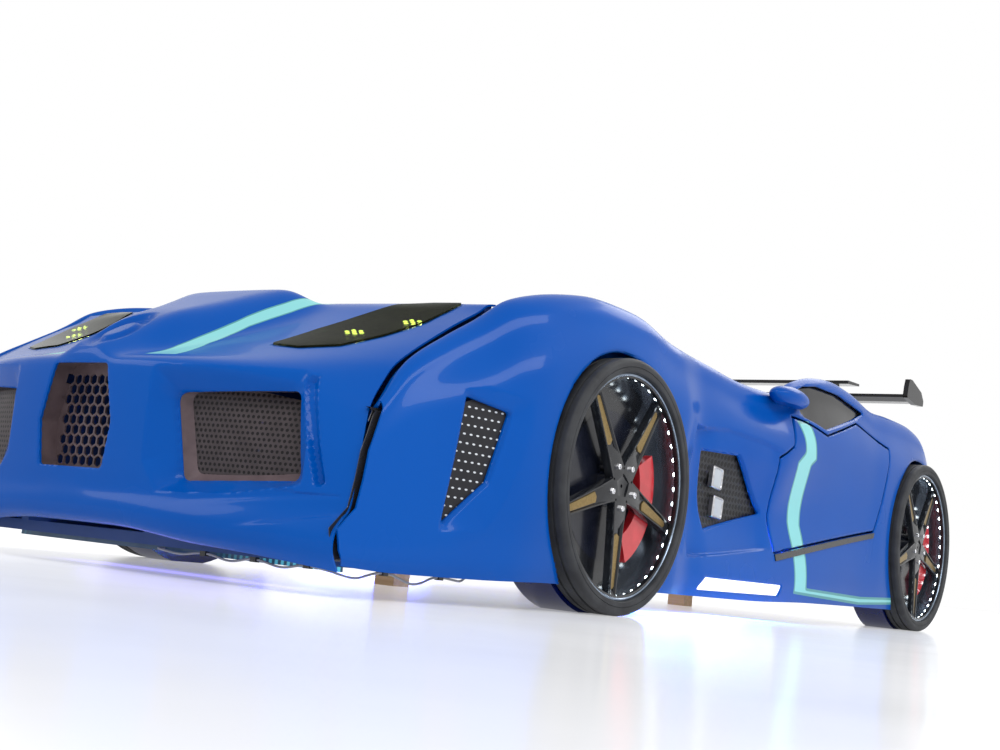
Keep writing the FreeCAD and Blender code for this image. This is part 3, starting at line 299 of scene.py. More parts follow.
# Key: name, darker tone, lighter tone, roughness from and to, further values of plain().
FINISHES = {
    "black": ("black_satin", (0.012, 0.012, 0.014), (0.02, 0.02, 0.022), (0.22, 0.34),
              {"coat": 0.3}),
    "tyre": ("tyre_rubber", (0.022, 0.023, 0.026), (0.036, 0.038, 0.042), (0.5, 0.68),
             {"bump": (420.0, 0.25, 0.0004)}),
    "rim": ("rim_black", (0.008, 0.009, 0.012), (0.016, 0.017, 0.02), (0.12, 0.22),
            {"coat": 0.3}),
    "gold": ("inlay_bronze", (0.20, 0.135, 0.045), (0.30, 0.21, 0.08), (0.25, 0.4),
             {"scale": 60.0, "metallic": 0.7, "bump": (300.0, 0.1, 0.0003),
              "stretch": (1, 8, 8)}),
    "chrome": ("bolt_chrome", (0.7, 0.7, 0.72), (0.8, 0.8, 0.82), (0.08, 0.18),
               {"metallic": 1.0}),
    "steel": ("zinc_steel", (0.45, 0.45, 0.47), (0.6, 0.6, 0.62), (0.25, 0.42),
              {"metallic": 1.0, "stretch": (1, 1, 6)}),
    "disc": ("disc_black", (0.006, 0.008, 0.016), (0.012, 0.014, 0.024), (0.12, 0.25),
             {"coat": 0.2}),
    "caliper": ("caliper_red", (0.5, 0.012, 0.02), (0.62, 0.02, 0.03), (0.18, 0.3),
                {"coat": 0.7}),
    "foot": ("foot_blue", (0.001, 0.006, 0.075), (0.002, 0.009, 0.10), (0.1, 0.18),
             {"coat": 0.4}),
    "window": ("window_black", (0.004, 0.004, 0.005), (0.009, 0.009, 0.011), (0.08, 0.16), {}),
    "board": ("faced_board", (0.02, 0.06, 0.22), (0.03, 0.075, 0.26), (0.35, 0.5),
              {"scale": 14.0, "bump": (90.0, 0.08, 0.0004)}),
    "lead": ("lead_grey", (0.36, 0.36, 0.38), (0.46, 0.46, 0.48), (0.4, 0.55), {}),
    # Polished metal barrel; its bluish tint is painted light from the rim's lights falling on it
    "barrel": ("barrel_polish", (0.16, 0.20, 0.26), (0.26, 0.31, 0.38), (0.16, 0.3),
               {"metallic": 0.9, "scale": 50.0, "stretch": (4, 1, 1)}),
    "frame_brown": ("opening_brown", (0.10, 0.07, 0.075), (0.14, 0.10, 0.105), (0.3, 0.45), {}),
}


def make_materials():
    made = {key: plain(*tones, **more).material for key, (*tones, more) in FINISHES.items()}
    made.update({
        "paint": paint(), "lens": smoked(), "glow": diffuser(), "cyan": light_strip(),
        "led": emissive("led_white", (0.85, 0.95, 1.0), 14.0),
        "lamp": emissive("lamp_diffuser", (0.75, 0.78, 0.84), 0.12, (0.42, 0.45, 0.48)),
        "amber": emissive("led_lime", (0.85, 1.0, 0.25), 30.0),
        "pine_x": wood("pine_slat", (0.50, 0.33, 0.17), (0.66, 0.47, 0.27), "X"),
        "pine_y": wood("pine_beam", (0.48, 0.32, 0.17), (0.64, 0.45, 0.26), "Y"),
        # The front mesh's and the honeycomb's near-black holes are painted shade of the openings
        # behind them; the vent's pale dots are print
        "mesh_front": perforated("front_mesh", (0.05, 0.04, 0.042), (0.008, 0.006, 0.007),
                                 0.0075, 0.28, "XZ"),
        "mesh_vent": perforated("vent_mesh", (0.015, 0.015, 0.018), (0.65, 0.68, 0.7),
                                0.0125, 0.19, "YZ", 2.0),
        "honeycomb": perforated("honeycomb_black", (0.022, 0.022, 0.025), (0.001, 0.001, 0.001),
                                0.012, 0.36, "YZ"),
    })
    return made


# ---------------------------------------------------------------- spline surfaces
def through(pairs, t):
    """Smooth curve through (position, value) pairs that never overshoots them."""
    if t <= pairs[0][0]:
        return pairs[0][1]
    if t >= pairs[-1][0]:
        return pairs[-1][1]
    i = next(k for k in range(len(pairs) - 1) if t < pairs[k + 1][0])

    def slope(k):
        return (pairs[k + 1][1] - pairs[k][1]) / (pairs[k + 1][0] - pairs[k][0])

    def tangent(k):
        if k == 0 or k == len(pairs) - 1:
            return slope(min(k, len(pairs) - 2))
        a, b = slope(k - 1), slope(k)
        return 0.0 if a * b <= 0 else 2 * a * b / (a + b)

    (x0, y0), (x1, y1) = pairs[i], pairs[i + 1]
    h = x1 - x0
    s = (t - x0) / h
    return (y0 * (1 + 2 * s) * (1 - s) ** 2 + y1 * s * s * (3 - 2 * s)
            + tangent(i) * h * s * (1 - s) ** 2 + tangent(i + 1) * h * s * s * (s - 1))


def basis(count, t):
    """Weights of a clamped cubic B-spline with that many poles, one row per parameter."""
    spans = count - 3
    knots = np.concatenate([[0.0] * 3, np.arange(spans + 1.0), [float(spans)] * 3])
    t = np.clip(t, 0, spans - 1e-9)
    weights = np.zeros((len(t), len(knots) - 1))
    weights[np.arange(len(t)), 3 + t.astype(int)] = 1.0
    for degree in (1, 2, 3):
        raised = np.zeros_like(weights)
        for i in range(len(knots) - 1 - degree):
            before = knots[i + degree] - knots[i]
            after = knots[i + degree + 1] - knots[i + 1]
            if before:
                raised[:, i] += (t - knots[i]) / before * weights[:, i]
            if after:
                raised[:, i] += (knots[i + degree + 1] - t) / after * weights[:, i + 1]
        weights = raised
    return weights[:, :count]


def even_parameters(line, spacing):
    """Parameters of a pole line, so that points fall about as far apart as spacing(point) says."""
    dense = np.linspace(0, len(line) - 3, 1500)
    points = basis(len(line), dense) @ line
    steps = np.linalg.norm(np.diff(points, axis=0), axis=1)
    wanted = np.array([spacing(p) for p in (points[1:] + points[:-1]) / 2])
    travel = np.concatenate([[0], np.cumsum(steps / wanted)])
    count = int(math.ceil(travel[-1]))
    return np.interp(np.linspace(0, travel[-1], count + 1), travel, dense)


def spline_grid(poles, us, vs):
    """Points of the surface over a grid of poles, at every pair of parameters."""
    return np.einsum("ai,ijk,bj->abk", basis(poles.shape[0], us), poles,
                     basis(poles.shape[1], vs))


def grid_normals(points):
    """Unit normals of a grid of points."""
    du = np.gradient(points, axis=0)
    dv = np.gradient(points, axis=1)
    normal = np.cross(du, dv)
    return normal / np.maximum(np.linalg.norm(normal, axis=2, keepdims=True), 1e-12)


def mesh_object(name, vertices, faces):
    mesh = bpy.data.meshes.new(name)
    mesh.from_pydata([tuple(v) for v in vertices], [], faces)
    mesh.validate()
    obj = bpy.data.objects.new(name, mesh)
    bpy.context.scene.collection.objects.link(obj)
    return obj


def face_outwards(obj):
    bm = bmesh.new()
    bm.from_mesh(obj.data)
    bmesh.ops.recalc_face_normals(bm, faces=bm.faces)
    bm.to_mesh(obj.data)
    bm.free()
    return obj


def smooth_by_angle(obj, degrees):
    """Smooth shading everywhere but at edges sharper than the angle."""
    mesh = obj.data
    mesh.polygons.foreach_set("use_smooth", [True] * len(mesh.polygons))
    bm = bmesh.new()
    bm.from_mesh(mesh)
    limit = math.radians(degrees)
    for edge in bm.edges:
        edge.smooth = not (edge.is_manifold and edge.calc_face_angle(0) > limit)
    bm.to_mesh(mesh)
    bm.free()
    return obj


def closed_sheet(name, outer, inner):
    """Closed solid between two grids of points, in millimetres, outer first."""
    rows, cols = outer.shape[:2]
    count = rows * cols
    index = np.arange(count).reshape(rows, cols)
    a, b = index[:-1, :-1].ravel(), index[1:, :-1].ravel()
    c, d = index[1:, 1:].ravel(), index[:-1, 1:].ravel()
    faces = [np.stack([a, b, c, d], 1), np.stack([d, c, b, a], 1) + count]
    ring = np.concatenate([index[0, :], index[1:, -1], index[-1, -2::-1], index[-2:0:-1, 0]])
    after = np.roll(ring, -1)
    faces.append(np.stack([ring, after, after + count, ring + count], 1))
    vertices = np.concatenate([outer.reshape(-1, 3), inner.reshape(-1, 3)]) * MM
    return face_outwards(mesh_object(name, vertices, np.concatenate(faces).tolist()))


def prism_data(outline, axis, low, high):
    """Vertices and faces of an outline in the two other axes, pushed along an axis."""
    others = [k for k in range(3) if k != axis]
    vertices = []
    for level in (low, high):
        for a, b in outline:
            point = [0.0, 0.0, 0.0]
            point[axis], point[others[0]], point[others[1]] = level, a, b
            vertices.append(tuple(p * MM for p in point))
    n = len(outline)
    faces = [list(range(n))[::-1], list(range(n, 2 * n))]
    faces += [[k, (k + 1) % n, n + (k + 1) % n, n + k] for k in range(n)]
    return vertices, faces


def joined(parts):
    """One list of vertices and one of faces from several such pairs."""
    vertices, faces = [], []
    for v, f in parts:
        faces += [[k + len(vertices) for k in face] for face in f]
        vertices += v
    return vertices, faces


def solid_object(name, parts, angle=30.0):
    return smooth_by_angle(face_outwards(mesh_object(name, *joined(parts))), angle)


def stack(rings, closed=False):
    """Vertices and faces of a row of rings, capped at both ends or closed on itself."""
    n, count = len(rings[0]), len(rings)
    faces = []
    for i in range(count if closed else count - 1):
        low, high = i * n, (i + 1) % count * n
        faces += [[low + k, low + (k + 1) % n, high + (k + 1) % n, high + k] for k in range(n)]
    if not closed:
        faces += [list(range(n)), list(range((count - 1) * n, count * n))]
    return [point for ring in rings for point in ring], faces


def stud(centre, across, along, out, rings, steps=10):
    """Round-topped dot on a face; rings are (radius, height) in millimetres."""
    turns = [math.tau * k / steps for k in range(steps)]
    return stack([[tuple((centre + across * (radius * math.cos(t))
                          + along * (radius * math.sin(t)) + out * height) * MM)
                   for t in turns] for radius, height in rings])


def cutter(prisms):
    """One mesh of several separate prisms, each given as (outline, axis, low, high)."""
    parts = [prism_data(*prism) for prism in prisms]
    return face_outwards(mesh_object("cutter", *joined(parts)))


def carve(obj, prisms, operation="DIFFERENCE"):
    """Cuts prisms out of an object, or keeps only what lies in them."""
    tool = cutter(prisms)
    modifier = obj.modifiers.new("carve", "BOOLEAN")
    modifier.operation = operation
    modifier.solver = "EXACT"
    modifier.object = tool
    bpy.context.view_layer.update()
    depsgraph = bpy.context.evaluated_depsgraph_get()
    mesh = bpy.data.meshes.new_from_object(obj.evaluated_get(depsgraph))
    obj.modifiers.clear()
    obj.data = mesh
    bpy.data.objects.remove(tool)


def copy_of(obj, name):
    """Second object with a mesh of its own."""
    twin = obj.copy()
    twin.data = obj.data.copy()
    twin.name = name
    bpy.context.scene.collection.objects.link(twin)
    return twin


def mirrored(obj, name):
    """Mirror image in the plane X = 0."""
    twin = copy_of(obj, name)
    twin.data.transform(Matrix.Scale(-1, 4, (1, 0, 0)))
    twin.data.flip_normals()
    return twin


def biggest_part(obj):
    """Drops every loose part but the one with the most points."""
    bm = bmesh.new()
    bm.from_mesh(obj.data)
    seen, groups = set(), []
    for start in bm.verts:
        if start in seen:
            continue
        group, waiting = [], [start]
        seen.add(start)
        while waiting:
            vertex = waiting.pop()
            group.append(vertex)
            near = {edge.other_vert(vertex) for edge in vertex.link_edges} - seen
            seen |= near
            waiting += near
        groups.append(group)
    groups.sort(key=len)
    drop = [vertex for group in groups[:-1] for vertex in group]
    bmesh.ops.delete(bm, geom=drop, context="VERTS")
    bm.to_mesh(obj.data)
    bm.free()


# ---------------------------------------------------------------- outlines
def rounded(outline, radius, steps=6):
    """Closed outline with its corners rounded."""
    result = []
    count = len(outline)
    for i in range(count):
        p = np.array(outline[i], float)
        a = np.array(outline[i - 1], float) - p
        b = np.array(outline[(i + 1) % count], float) - p
        la, lb = np.linalg.norm(a), np.linalg.norm(b)
        a, b = a / la, b / lb
        half = math.acos(max(-1, min(1, float(a @ b)))) / 2
        reach = min(radius / math.tan(half), 0.45 * la, 0.45 * lb)
        start, end = p + a * reach, p + b * reach
        for k in range(steps + 1):
            t = k / steps
            result.append(tuple((1 - t) ** 2 * start + 2 * t * (1 - t) * p + t * t * end))
    return result


def grown(outline, amount):
    """Outline moved outwards by an amount, or inwards by a negative one."""
    count = len(outline)
    area = sum(outline[i - 1][0] * outline[i][1] - outline[i][0] * outline[i - 1][1]
               for i in range(count))
    turn = 1 if area > 0 else -1
    result = []
    for i in range(count):
        (ax, ay), (bx, by), (cx, cy) = outline[i - 1], outline[i], outline[(i + 1) % count]
        n1 = (turn * (by - ay), -turn * (bx - ax))
        n2 = (turn * (cy - by), -turn * (cx - bx))
        l1, l2 = math.hypot(*n1), math.hypot(*n2)
        n1, n2 = (n1[0] / l1, n1[1] / l1), (n2[0] / l2, n2[1] / l2)
        scale = amount / (1 + n1[0] * n2[0] + n1[1] * n2[1])
        result.append((bx + (n1[0] + n2[0]) * scale, by + (n1[1] + n2[1]) * scale))
    return result


def distance_to(outline, a, b):
    """Distance of points (a, b) to a closed outline, negative inside it."""
    best = np.full(a.shape, 1e9)
    inside = np.zeros(a.shape, bool)
    count = len(outline)
    for i in range(count):
        (x0, y0), (x1, y1) = outline[i - 1], outline[i]
        dx, dy = x1 - x0, y1 - y0
        length = max(dx * dx + dy * dy, 1e-12)
        t = np.clip(((a - x0) * dx + (b - y0) * dy) / length, 0, 1)
        best = np.minimum(best, np.hypot(a - x0 - t * dx, b - y0 - t * dy))
        if y0 != y1:
            crossing = ((y0 > b) != (y1 > b)) & (a < dx * (b - y0) / dy + x0)
            inside ^= crossing
    return np.where(inside, -best, best)


def roll_in(distance, radius):
    """Depth of a rolled edge: a quarter circle that ends at distance 0."""
    t = np.clip(distance / radius, 0, 1)
    return radius * (1 - np.sqrt(1 - (1 - t) ** 2))


def blend_step(t):
    """0 up to t = 0, 1 from t = 1, and smooth between them."""
    t = np.clip(t, 0, 1)
    return t * t * (3 - 2 * t)


# ---------------------------------------------------------------- side shell
SILL_OUT = ((-1120, 9), (-1000, 23), (-850, 43), (-750, 57), (-330, 57), (-250, 48),
            (-196, 51), (130, 53), (520, 53), (720, 59), (1060, 57), (1134, 44))
MID_OUT = ((-1120, 10), (-1080, 13), (-950, 29), (-850, 45), (-740, 60), (-320, 61),
           (-258, 31), (-190, 21), (0, 26), (100, 36), (300, 39), (600, 51), (700, 60),
           (1060, 60), (1134, 40))
SHOULDER_OUT = ((-1120, 10), (-950, 25), (-850, 41), (-740, 57), (-320, 58), (-222, 42),
                (0, 58), (136, 66), (300, 61), (600, 55), (720, 60), (1060, 56), (1134, 36))
UPPER_OUT = ((-1120, 9), (-1057, 11), (-1008, 10), (-915, 11), (-841, 18), (-740, 36),
             (-560, 43), (-320, 38), (-200, 24), (0, 25), (136, 32), (422, 33), (670, 36),
             (1000, 34), (1134, 18))
CREST_OUT = ((-1120, -1), (-1057, 1), (-1008, -8), (-915, -11), (-841, -9), (-790, -5),
             (-676, 1), (-560, 6), (-455, 9), (-163, 5), (0, 7), (200, 11), (422, 9),
             (740, 13), (1000, 5), (1134, 0))
WALL_OUT = ((-1120, -11), (-1057, -9), (-1008, -18), (-915, -21), (-790, -18), (-676, -13),
            (1134, -13))
CREST_Z = ((-1120, 216), (-1090, 226), (-1057, 243), (-1008, 306), (-915, 365), (-841, 408),
           (-811, 431), (-780, 446), (-676, 475), (-560, 491), (-455, 490), (-335, 467),
           (-163, 456), (-15, 446), (105, 447), (190, 482), (306, 512), (422, 522),
           (520, 515), (670, 491), (740, 494), (885, 495), (990, 484), (1050, 450),
           (1100, 412), (1134, 398))
BOTTOM_Z = ((-1120, 41), (-1000, 36), (-850, 37), (-680, 41), (0, 39), (310, 44), (1134, 46))
SEAM_YZ = ((-1095, 41), (-1107, 58), (-1114, 84), (-1087, 112), (-1080, 150), (-1076, 185),
           (-1053, 242))
SEAM_GAP = 2.0
SEAM_FLANGE = 12.0
RAIL_TOP = 370.0
DOOR_GAP = 5.0
DOOR_OUTLINE = ((160, 408), (132, 345), (76, 316), (88, 200), (112, 134), (630, 215),
                (662, 283), (685, 350), (709, 412), (511, 443), (311, 390), (210, 404))
WINDOW_OUTLINE = ((190, 464), (240, 482), (308, 493), (430, 493), (576, 474), (511, 453),
                  (311, 402), (207, 416))
FLANK = (RAIL_OUT + 2, RAIL_OUT + 120)      # reach of the cutting prisms along X
LOW_CREASE = ((-270, 101), (-124, 114), (92, 137))
HIGH_CREASE = ((-221, 337), (-124, 347), (5, 342), (134, 328))
RECESS_FRONT, RECESS_REAR = -258, 40        # Y of the recess between the creases
RECESS_DEEP, CREASE_DEEP = 2.5, 3.0
RECESS_STEP = 5.0                           # more depth at its front end
VENT_FUNNEL = 6.0
DOOR_ROLL = 2.5
ARCH_ROLL, ARCH_STEPS = 5.0, 160
VENT_OUTLINE = ((-902, 282), (-817, 271), (-851, 170), (-931, 102))
INTAKE_OUTLINE = ((-204, 295), (-74, 301), (64, 205), (-162, 158))
SKIRT_SLOT = ((-183, 74), (145, 74), (133, 53), (-212, 51))
OPENINGS = ((VENT_OUTLINE, 6, 4.0), (INTAKE_OUTLINE, 5, 4.0), (WINDOW_OUTLINE, 5, 4.0),
            (SKIRT_SLOT, 4, 3.0))           # outline, corner radius, rolled edge
LAMP_SPOTS = ((-122, 254), (-98, 202))
LAMP_BODY = ((13.0, 20.0), (5.0, 20.0), (3.0, 18.5), (3.0, 16.5), (5.0, 15.5))
LAMP_LEAN, LAMP_TILT = 0.12, 0.1            # how far the squares are skewed
LAMP_LENS = ((6.0, 16.0), (4.6, 16.0), (4.0, 14.5))
PLATE_SUNK, PLATE_THICK = 13.5, 2.0
PLATE_EDGE = 3.0
# Black strip behind the side-to-nose seam, a painted shade in the gap
SHADE_STRIP_SUNK, SHADE_STRIP_THICK = 5.0, 1.2
SHADE_STRIP_ROWS = (-8, -3, 3, 9)               # across the seam, along Y
SHADE_STRIP_TOP = 240.0
FLANK_TOP = 330.0                           # the plates follow the side up to here
VENT_FRAME = ((-909, 290), (-865, 300), (-779, 294), (-781, 254), (-800, 194), (-823, 142),
              (-852, 104), (-940, 94))
SIDE_STATIONS = ((-1120, -1090, 3), (-1090, -780, 12), (-780, -320, 12), (-320, -180, 8),
                 (-180, 60, 7), (60, 740, 22), (740, 1134, 14))
SIDE_STRIPE = ((169, 402), (188, 341), (156, 318), (176, 198), (196, 147), (205, 60),
               (576, 50), (800, 58), (800, 74), (576, 68), (268, 74), (262, 134), (250, 177),
               (240, 198), (238, 318), (262, 333), (221, 408))


def side_section(y):
    """Outline of the side shell at one station: bottom edge, crest, inner wall."""
    z_low, z_crest = through(BOTTOM_Z, y), through(CREST_Z, y)
    sill, mid = through(SILL_OUT, y), through(MID_OUT, y)
    shoulder, upper = through(SHOULDER_OUT, y), through(UPPER_OUT, y)
    crest, wall = through(CREST_OUT, y), through(WALL_OUT, y)
    flank = ((0, sill - 8), (0.05, sill - 1), (0.1, sill), (0.38, mid), (0.72, shoulder),
             (0.9, upper))
    height = z_crest - z_low
    points = []
    for t in (0, 0.04, 0.08, 0.14, 0.2, 0.27, 0.34, 0.41, 0.48, 0.55, 0.62, 0.68, 0.74,
              0.8, 0.85):
        points.append((through(flank, t), z_low + t * height))
    for angle in (0, 18, 36, 54, 72, 90):
        a = math.radians(angle)
        points.append((crest + (upper - crest) * math.cos(a),
                       z_low + height * (0.9 + 0.1 * math.sin(a))))
    roll = min(crest - wall, 16.0)
    for angle in (35, 65, 90):
        a = math.radians(angle)
        points.append((wall + (crest - wall) * math.cos(a), z_crest - roll * math.sin(a)))
    share = max(0.0, min(1.0, (y + 811) / 60))
    start = z_crest - roll
    foot = (1 - share) * (start - SEAM_FLANGE) + share * min(RAIL_TOP, start - 2)
    for t in (0.35, 0.7, 1.0):
        points.append((wall, start + (foot - start) * t))
    return [(RAIL_OUT + x, y, z) for x, z in points]


def side_poles():
    stations = []
    for start, end, count in SIDE_STATIONS:
        stations += [start + (end - start) * k / count for k in range(count)]
    stations.append(SIDE_STATIONS[-1][1])
    return np.array([side_section(y) for y in stations])


FINE, COARSE = 2.4, 7.0
ACROSS_FINE, ACROSS_COARSE = 2.8, 6.0
FINE_SPANS = ((-1120, -1050), (-950, -800), (-740, -690), (-350, 180), (560, 770),
              (1090, 1134))                 # of Y, where an opening has an edge
SEAM_REACH = -1030.0                        # Y up to which the grid follows the seam
SEAM_SAMPLES = 400


def side_spacing(point):
    """Point spacing along the bed."""
    return FINE if any(low < point[1] < high for low, high in FINE_SPANS) else COARSE


def side_surface():
    """Dense grid of the side, whose front edge follows the seam with the nose."""
    poles = side_poles()
    us = even_parameters(poles[:, 9], side_spacing)
    vs = even_parameters(poles[len(poles) // 2],
                         lambda p: ACROSS_FINE if p[0] > RAIL_OUT + 4 else ACROSS_COARSE)
    points = spline_grid(poles, us, vs)
    start = int(np.argmax(points[:, 0, 1] > SEAM_REACH))
    front = spline_grid(poles, np.linspace(0, us[start], SEAM_SAMPLES), vs)
    seam_y, seam_z = [p[0] + SEAM_GAP for p in SEAM_YZ], [p[1] for p in SEAM_YZ]
    past = front[..., 1] > np.interp(front[..., 2], seam_z, seam_y)
    rows = np.arange(float(SEAM_SAMPLES))
    for j in range(points.shape[1]):
        ahead = np.nonzero(~past[:, j])[0]
        first = float(ahead[-1] + 1) if len(ahead) else 0.0
        at = np.linspace(first, SEAM_SAMPLES - 1.0, start + 1)
        for k in range(3):
            points[:start + 1, j, k] = np.interp(at, rows, front[:, j, k])
    return points


def funnel(opening, frame_distance, depth):
    """Slope from a frame's outline down to the edge of the opening in it."""
    share = -frame_distance / np.maximum(-frame_distance + np.maximum(opening, 0), 1e-6)
    return np.where(frame_distance < 0, depth * share, 0.0)


def side_depth(y, z, x):
    """How far each point of the side is pressed in, in millimetres."""
    depth = np.zeros(y.shape)
    for outline, corner, radius in OPENINGS:
        depth += roll_in(distance_to(rounded(outline, corner), y, z), radius)
    vent, frame_line = (distance_to(rounded(line, 6), y, z) for line in
                        (VENT_OUTLINE, VENT_FRAME))
    depth += funnel(vent, frame_line, VENT_FUNNEL)
    from_front = y - RECESS_FRONT
    reach = blend_step(from_front / 20) * (1 - blend_step((y - RECESS_REAR) / 70))
    low = z - np.interp(y, *zip(*LOW_CREASE))
    high = np.interp(y, *zip(*HIGH_CREASE)) - z
    middle = blend_step(low / 9) * blend_step(high / 10)
    depth += reach * middle * (RECESS_DEEP + CREASE_DEEP * (1 - blend_step(low / 60))
                               + CREASE_DEEP * (1 - blend_step(high / 50)))
    depth += RECESS_STEP * blend_step(from_front / 14) * (
        1 - blend_step((from_front - 23) / 80)) * middle
    door = distance_to(DOOR_OUTLINE, y, z)
    depth += roll_in(np.abs(door) - DOOR_GAP / 2 + 0.2, DOOR_ROLL)
    for axle in (FRONT_AXLE_Y, REAR_AXLE_Y):
        depth += roll_in(np.hypot(y - axle, z - WHEEL_Z) - ARCH_RADIUS, ARCH_ROLL)
    return np.where(x > RAIL_OUT + 4, depth, 0.0)


def both_sides(obj, material, slot_name, replaced=None):
    """Dresses a left-hand piece and its mirror image; {} in a node's name is the side."""
    twin = mirrored(obj, obj.name.replace("left", "right"))
    for piece, side in ((obj, "left"), (twin, "right")):
        dress(piece, material, slot_name, *([replaced.format(side)] if replaced else []))


def make_seam_backing(materials, inner):
    """Black strip behind the seam between side and nose, a painted shade that keeps the gap dark.
    """
    edge = inner[0]
    inward = -grid_normals(inner)[0]
    strip = np.stack([edge + inward * SHADE_STRIP_SUNK + np.array([0.0, dy, 0.0])
                      for dy in SHADE_STRIP_ROWS])
    keep = (edge[:, 0] > RAIL_OUT - 14) & (edge[:, 2] < SHADE_STRIP_TOP)
    strip = strip[:, keep]
    obj = closed_sheet("seam_backing_left", strip, strip + inward[keep] * SHADE_STRIP_THICK)
    both_sides(smooth_by_angle(obj, 40.0), materials["black"], "black")


def lamp_mesh(points, y, z, levels):
    """Rounded square lamp on the intake plate; levels are (depth, half side)."""
    base = nearest(points, y, z, 2, 1)[0]
    rings = []
    for depth, half in levels:
        square = rounded(((-half, -half), (half, -half), (half, half), (-half, half)), 5.0, 4)
        rings.append([((base - depth) * MM, (y + a + b * LAMP_LEAN) * MM,
                       (z + b - a * LAMP_TILT) * MM) for a, b in square])
    return stack(rings)


def make_side_plates(materials, points):
    """Plates of the fender vent and of the intake, with the intake's two square lamps."""
    flank = points[:, points[points.shape[0] // 2, :, 2] < FLANK_TOP]
    inward = -grid_normals(flank)
    for name, outline, key, node in (
            ("vent_plate_left", VENT_OUTLINE, "mesh_vent", "fender_vent_{}"),
            ("intake_plate_left", INTAKE_OUTLINE, "honeycomb", "side_intake_{}")):
        low, high = min(p[0] for p in outline) - 30, max(p[0] for p in outline) + 30
        rows = (flank[:, 5, 1] > low) & (flank[:, 5, 1] < high)
        plate = closed_sheet(name, (flank + inward * PLATE_SUNK)[rows],
                             (flank + inward * (PLATE_SUNK + PLATE_THICK))[rows])
        carve(plate, [(grown(rounded(outline, 5), PLATE_EDGE), 0, RAIL_OUT - 60, FLANK[1])],
              "INTERSECT")
        biggest_part(plate)
        both_sides(smooth_by_angle(plate, 35.0), materials[key], "grille", node)
    bodies, lenses = [solid_object(name, [lamp_mesh(flank, y, z, levels) for y, z in LAMP_SPOTS])
                      for name, levels in (("lamp_bodies_left", LAMP_BODY),
                                           ("lamp_lenses_left", LAMP_LENS))]
    both_sides(bodies, materials["steel"], "light", "side_lamps")
    both_sides(lenses, materials["lamp"], "light", "side_lamps")


def make_sides(materials):
    points = side_surface()
    x, y, z = np.moveaxis(points, -1, 0)
    outer = points - grid_normals(points) * side_depth(y, z, x)[..., None]
    inner = outer - grid_normals(outer) * SKIN
    shell = closed_sheet("body_side_left", outer, inner)
    door = copy_of(shell, "door_skin_left")
    turns = [math.tau * k / ARCH_STEPS for k in range(ARCH_STEPS)]
    circle = [(math.cos(t), math.sin(t)) for t in turns]
    prisms = [([(a + ARCH_RADIUS * c, WHEEL_Z + ARCH_RADIUS * s) for c, s in circle], 0, *FLANK)
              for a in (FRONT_AXLE_Y, REAR_AXLE_Y)]
    prisms += [(rounded(line, corner), 0, *FLANK) for line, corner, _ in OPENINGS]
    prisms.append((grown(DOOR_OUTLINE, DOOR_GAP / 2), 0, *FLANK))
    carve(shell, prisms)
    biggest_part(shell)
    carve(door, [(grown(DOOR_OUTLINE, -DOOR_GAP / 2), 0, *FLANK)], "INTERSECT")
    # Painted shade: a black strip behind the seam with the nose
    make_seam_backing(materials, inner)
    make_side_plates(materials, points)
    stripe = rounded(SIDE_STRIPE, 3.0, 2)
    for obj in (shell, door):
        paint_stripe(obj, lambda x, y, z: -distance_to(stripe, y, z), materials["paint"])
    return shell, door


def paint_stripe(obj, inside, material):
    """Stores how deep each vertex lies in a stripe, in millimetres, for the paint."""
    co = np.zeros(len(obj.data.vertices) * 3)
    obj.data.vertices.foreach_get("co", co)
    depth = inside(*(co.reshape(-1, 3) / MM).T)
    layer = obj.data.attributes.new("stripe", "FLOAT", "POINT")
    layer.data.foreach_set("value", np.clip(depth, -30, 30))
    smooth_by_angle(obj, 32.0)
    obj.data.materials.clear()
    obj.data.materials.append(material)


# ---------------------------------------------------------------- nose shell
NOSE_ROWS = (((-1128, 60), (-1098, 41), 4), ((-1150, 62), (-1112, 56), 6),
             ((-1158, 72), (-1117, 70), 7), ((-1160, 86), (-1115, 86), 7),
             ((-1156, 98), (-1102, 100), 7), ((-1151, 110), (-1089, 114), 6),
             ((-1152, 140), (-1082, 145), 5), ((-1154, 180), (-1078, 180), 3),
             ((-1156, 220), (-1067, 214), -4), ((-1157, 255), (-1056, 243), -11),
             ((-1157, 280), (-1045, 259), -14), ((-1153, 291), (-1036, 270), -16),
             ((-1140, 297), (-1022, 288), -18), ((-1110, 304), (-1006, 307), -21),
             ((-1075, 315), (-975, 328), -23), ((-1039, 330), (-950, 344), -24),
             ((-990, 351), (-920, 362), -25), ((-940, 376), (-890, 380), -26),
             ((-895, 401), (-862, 396), -26), ((-862, 422), (-842, 407), -25),
             ((-846, 430), (-832, 413), -24), ((-832, 434), (-822, 420), -23),
             ((-815, 437), (-814, 427), -23), ((-806, 438), (-806, 431), -23),
             ((-790, 439), (-790, 433), -23))
NOSE_COLUMNS = 33
DOME_WIDTH = ((-1160, 42), (-1100, 72), (-1000, 110), (-870, 172), (-830, 176))
DOME_RISE = ((-1165, 0), (-1150, 18), (-1100, 36), (-1038, 50), (-950, 46), (-866, 36),
             (-846, 0))
NOSE_PRISM = (1, -1185, -1040)              # axis and reach of the cuts through the nose
SIDE_CORNER, CENTRE_CORNER = 14, 8
BOTTOM_ROW_Z = 62.0
CORNER_DROP = 9.0                           # how far the bottom edge dips at the sides
HOOD_PRISM = (2, 250, 500)
PLATE_PRISM = (1, -1185, -1000)
FRONT_FACE = (96, 292)                      # Z range of the nose's front
PLATE_ZONE = (100, 284, -1030)              # lowest and highest Z and rearmost Y of the plates
HOOD_Z, HOOD_Y = 285.0, -1150.0
SLOT_DEEP, CREASE_IN, LENS_IN = 10.0, 2.0, 2.2
EMBLEM_IN, EMBLEM_OUT = 9.0, 6.0            # depth of the oval's rim, height of its middle
FRAME_DEEP = 24.0                           # side openings, below the nose's surface
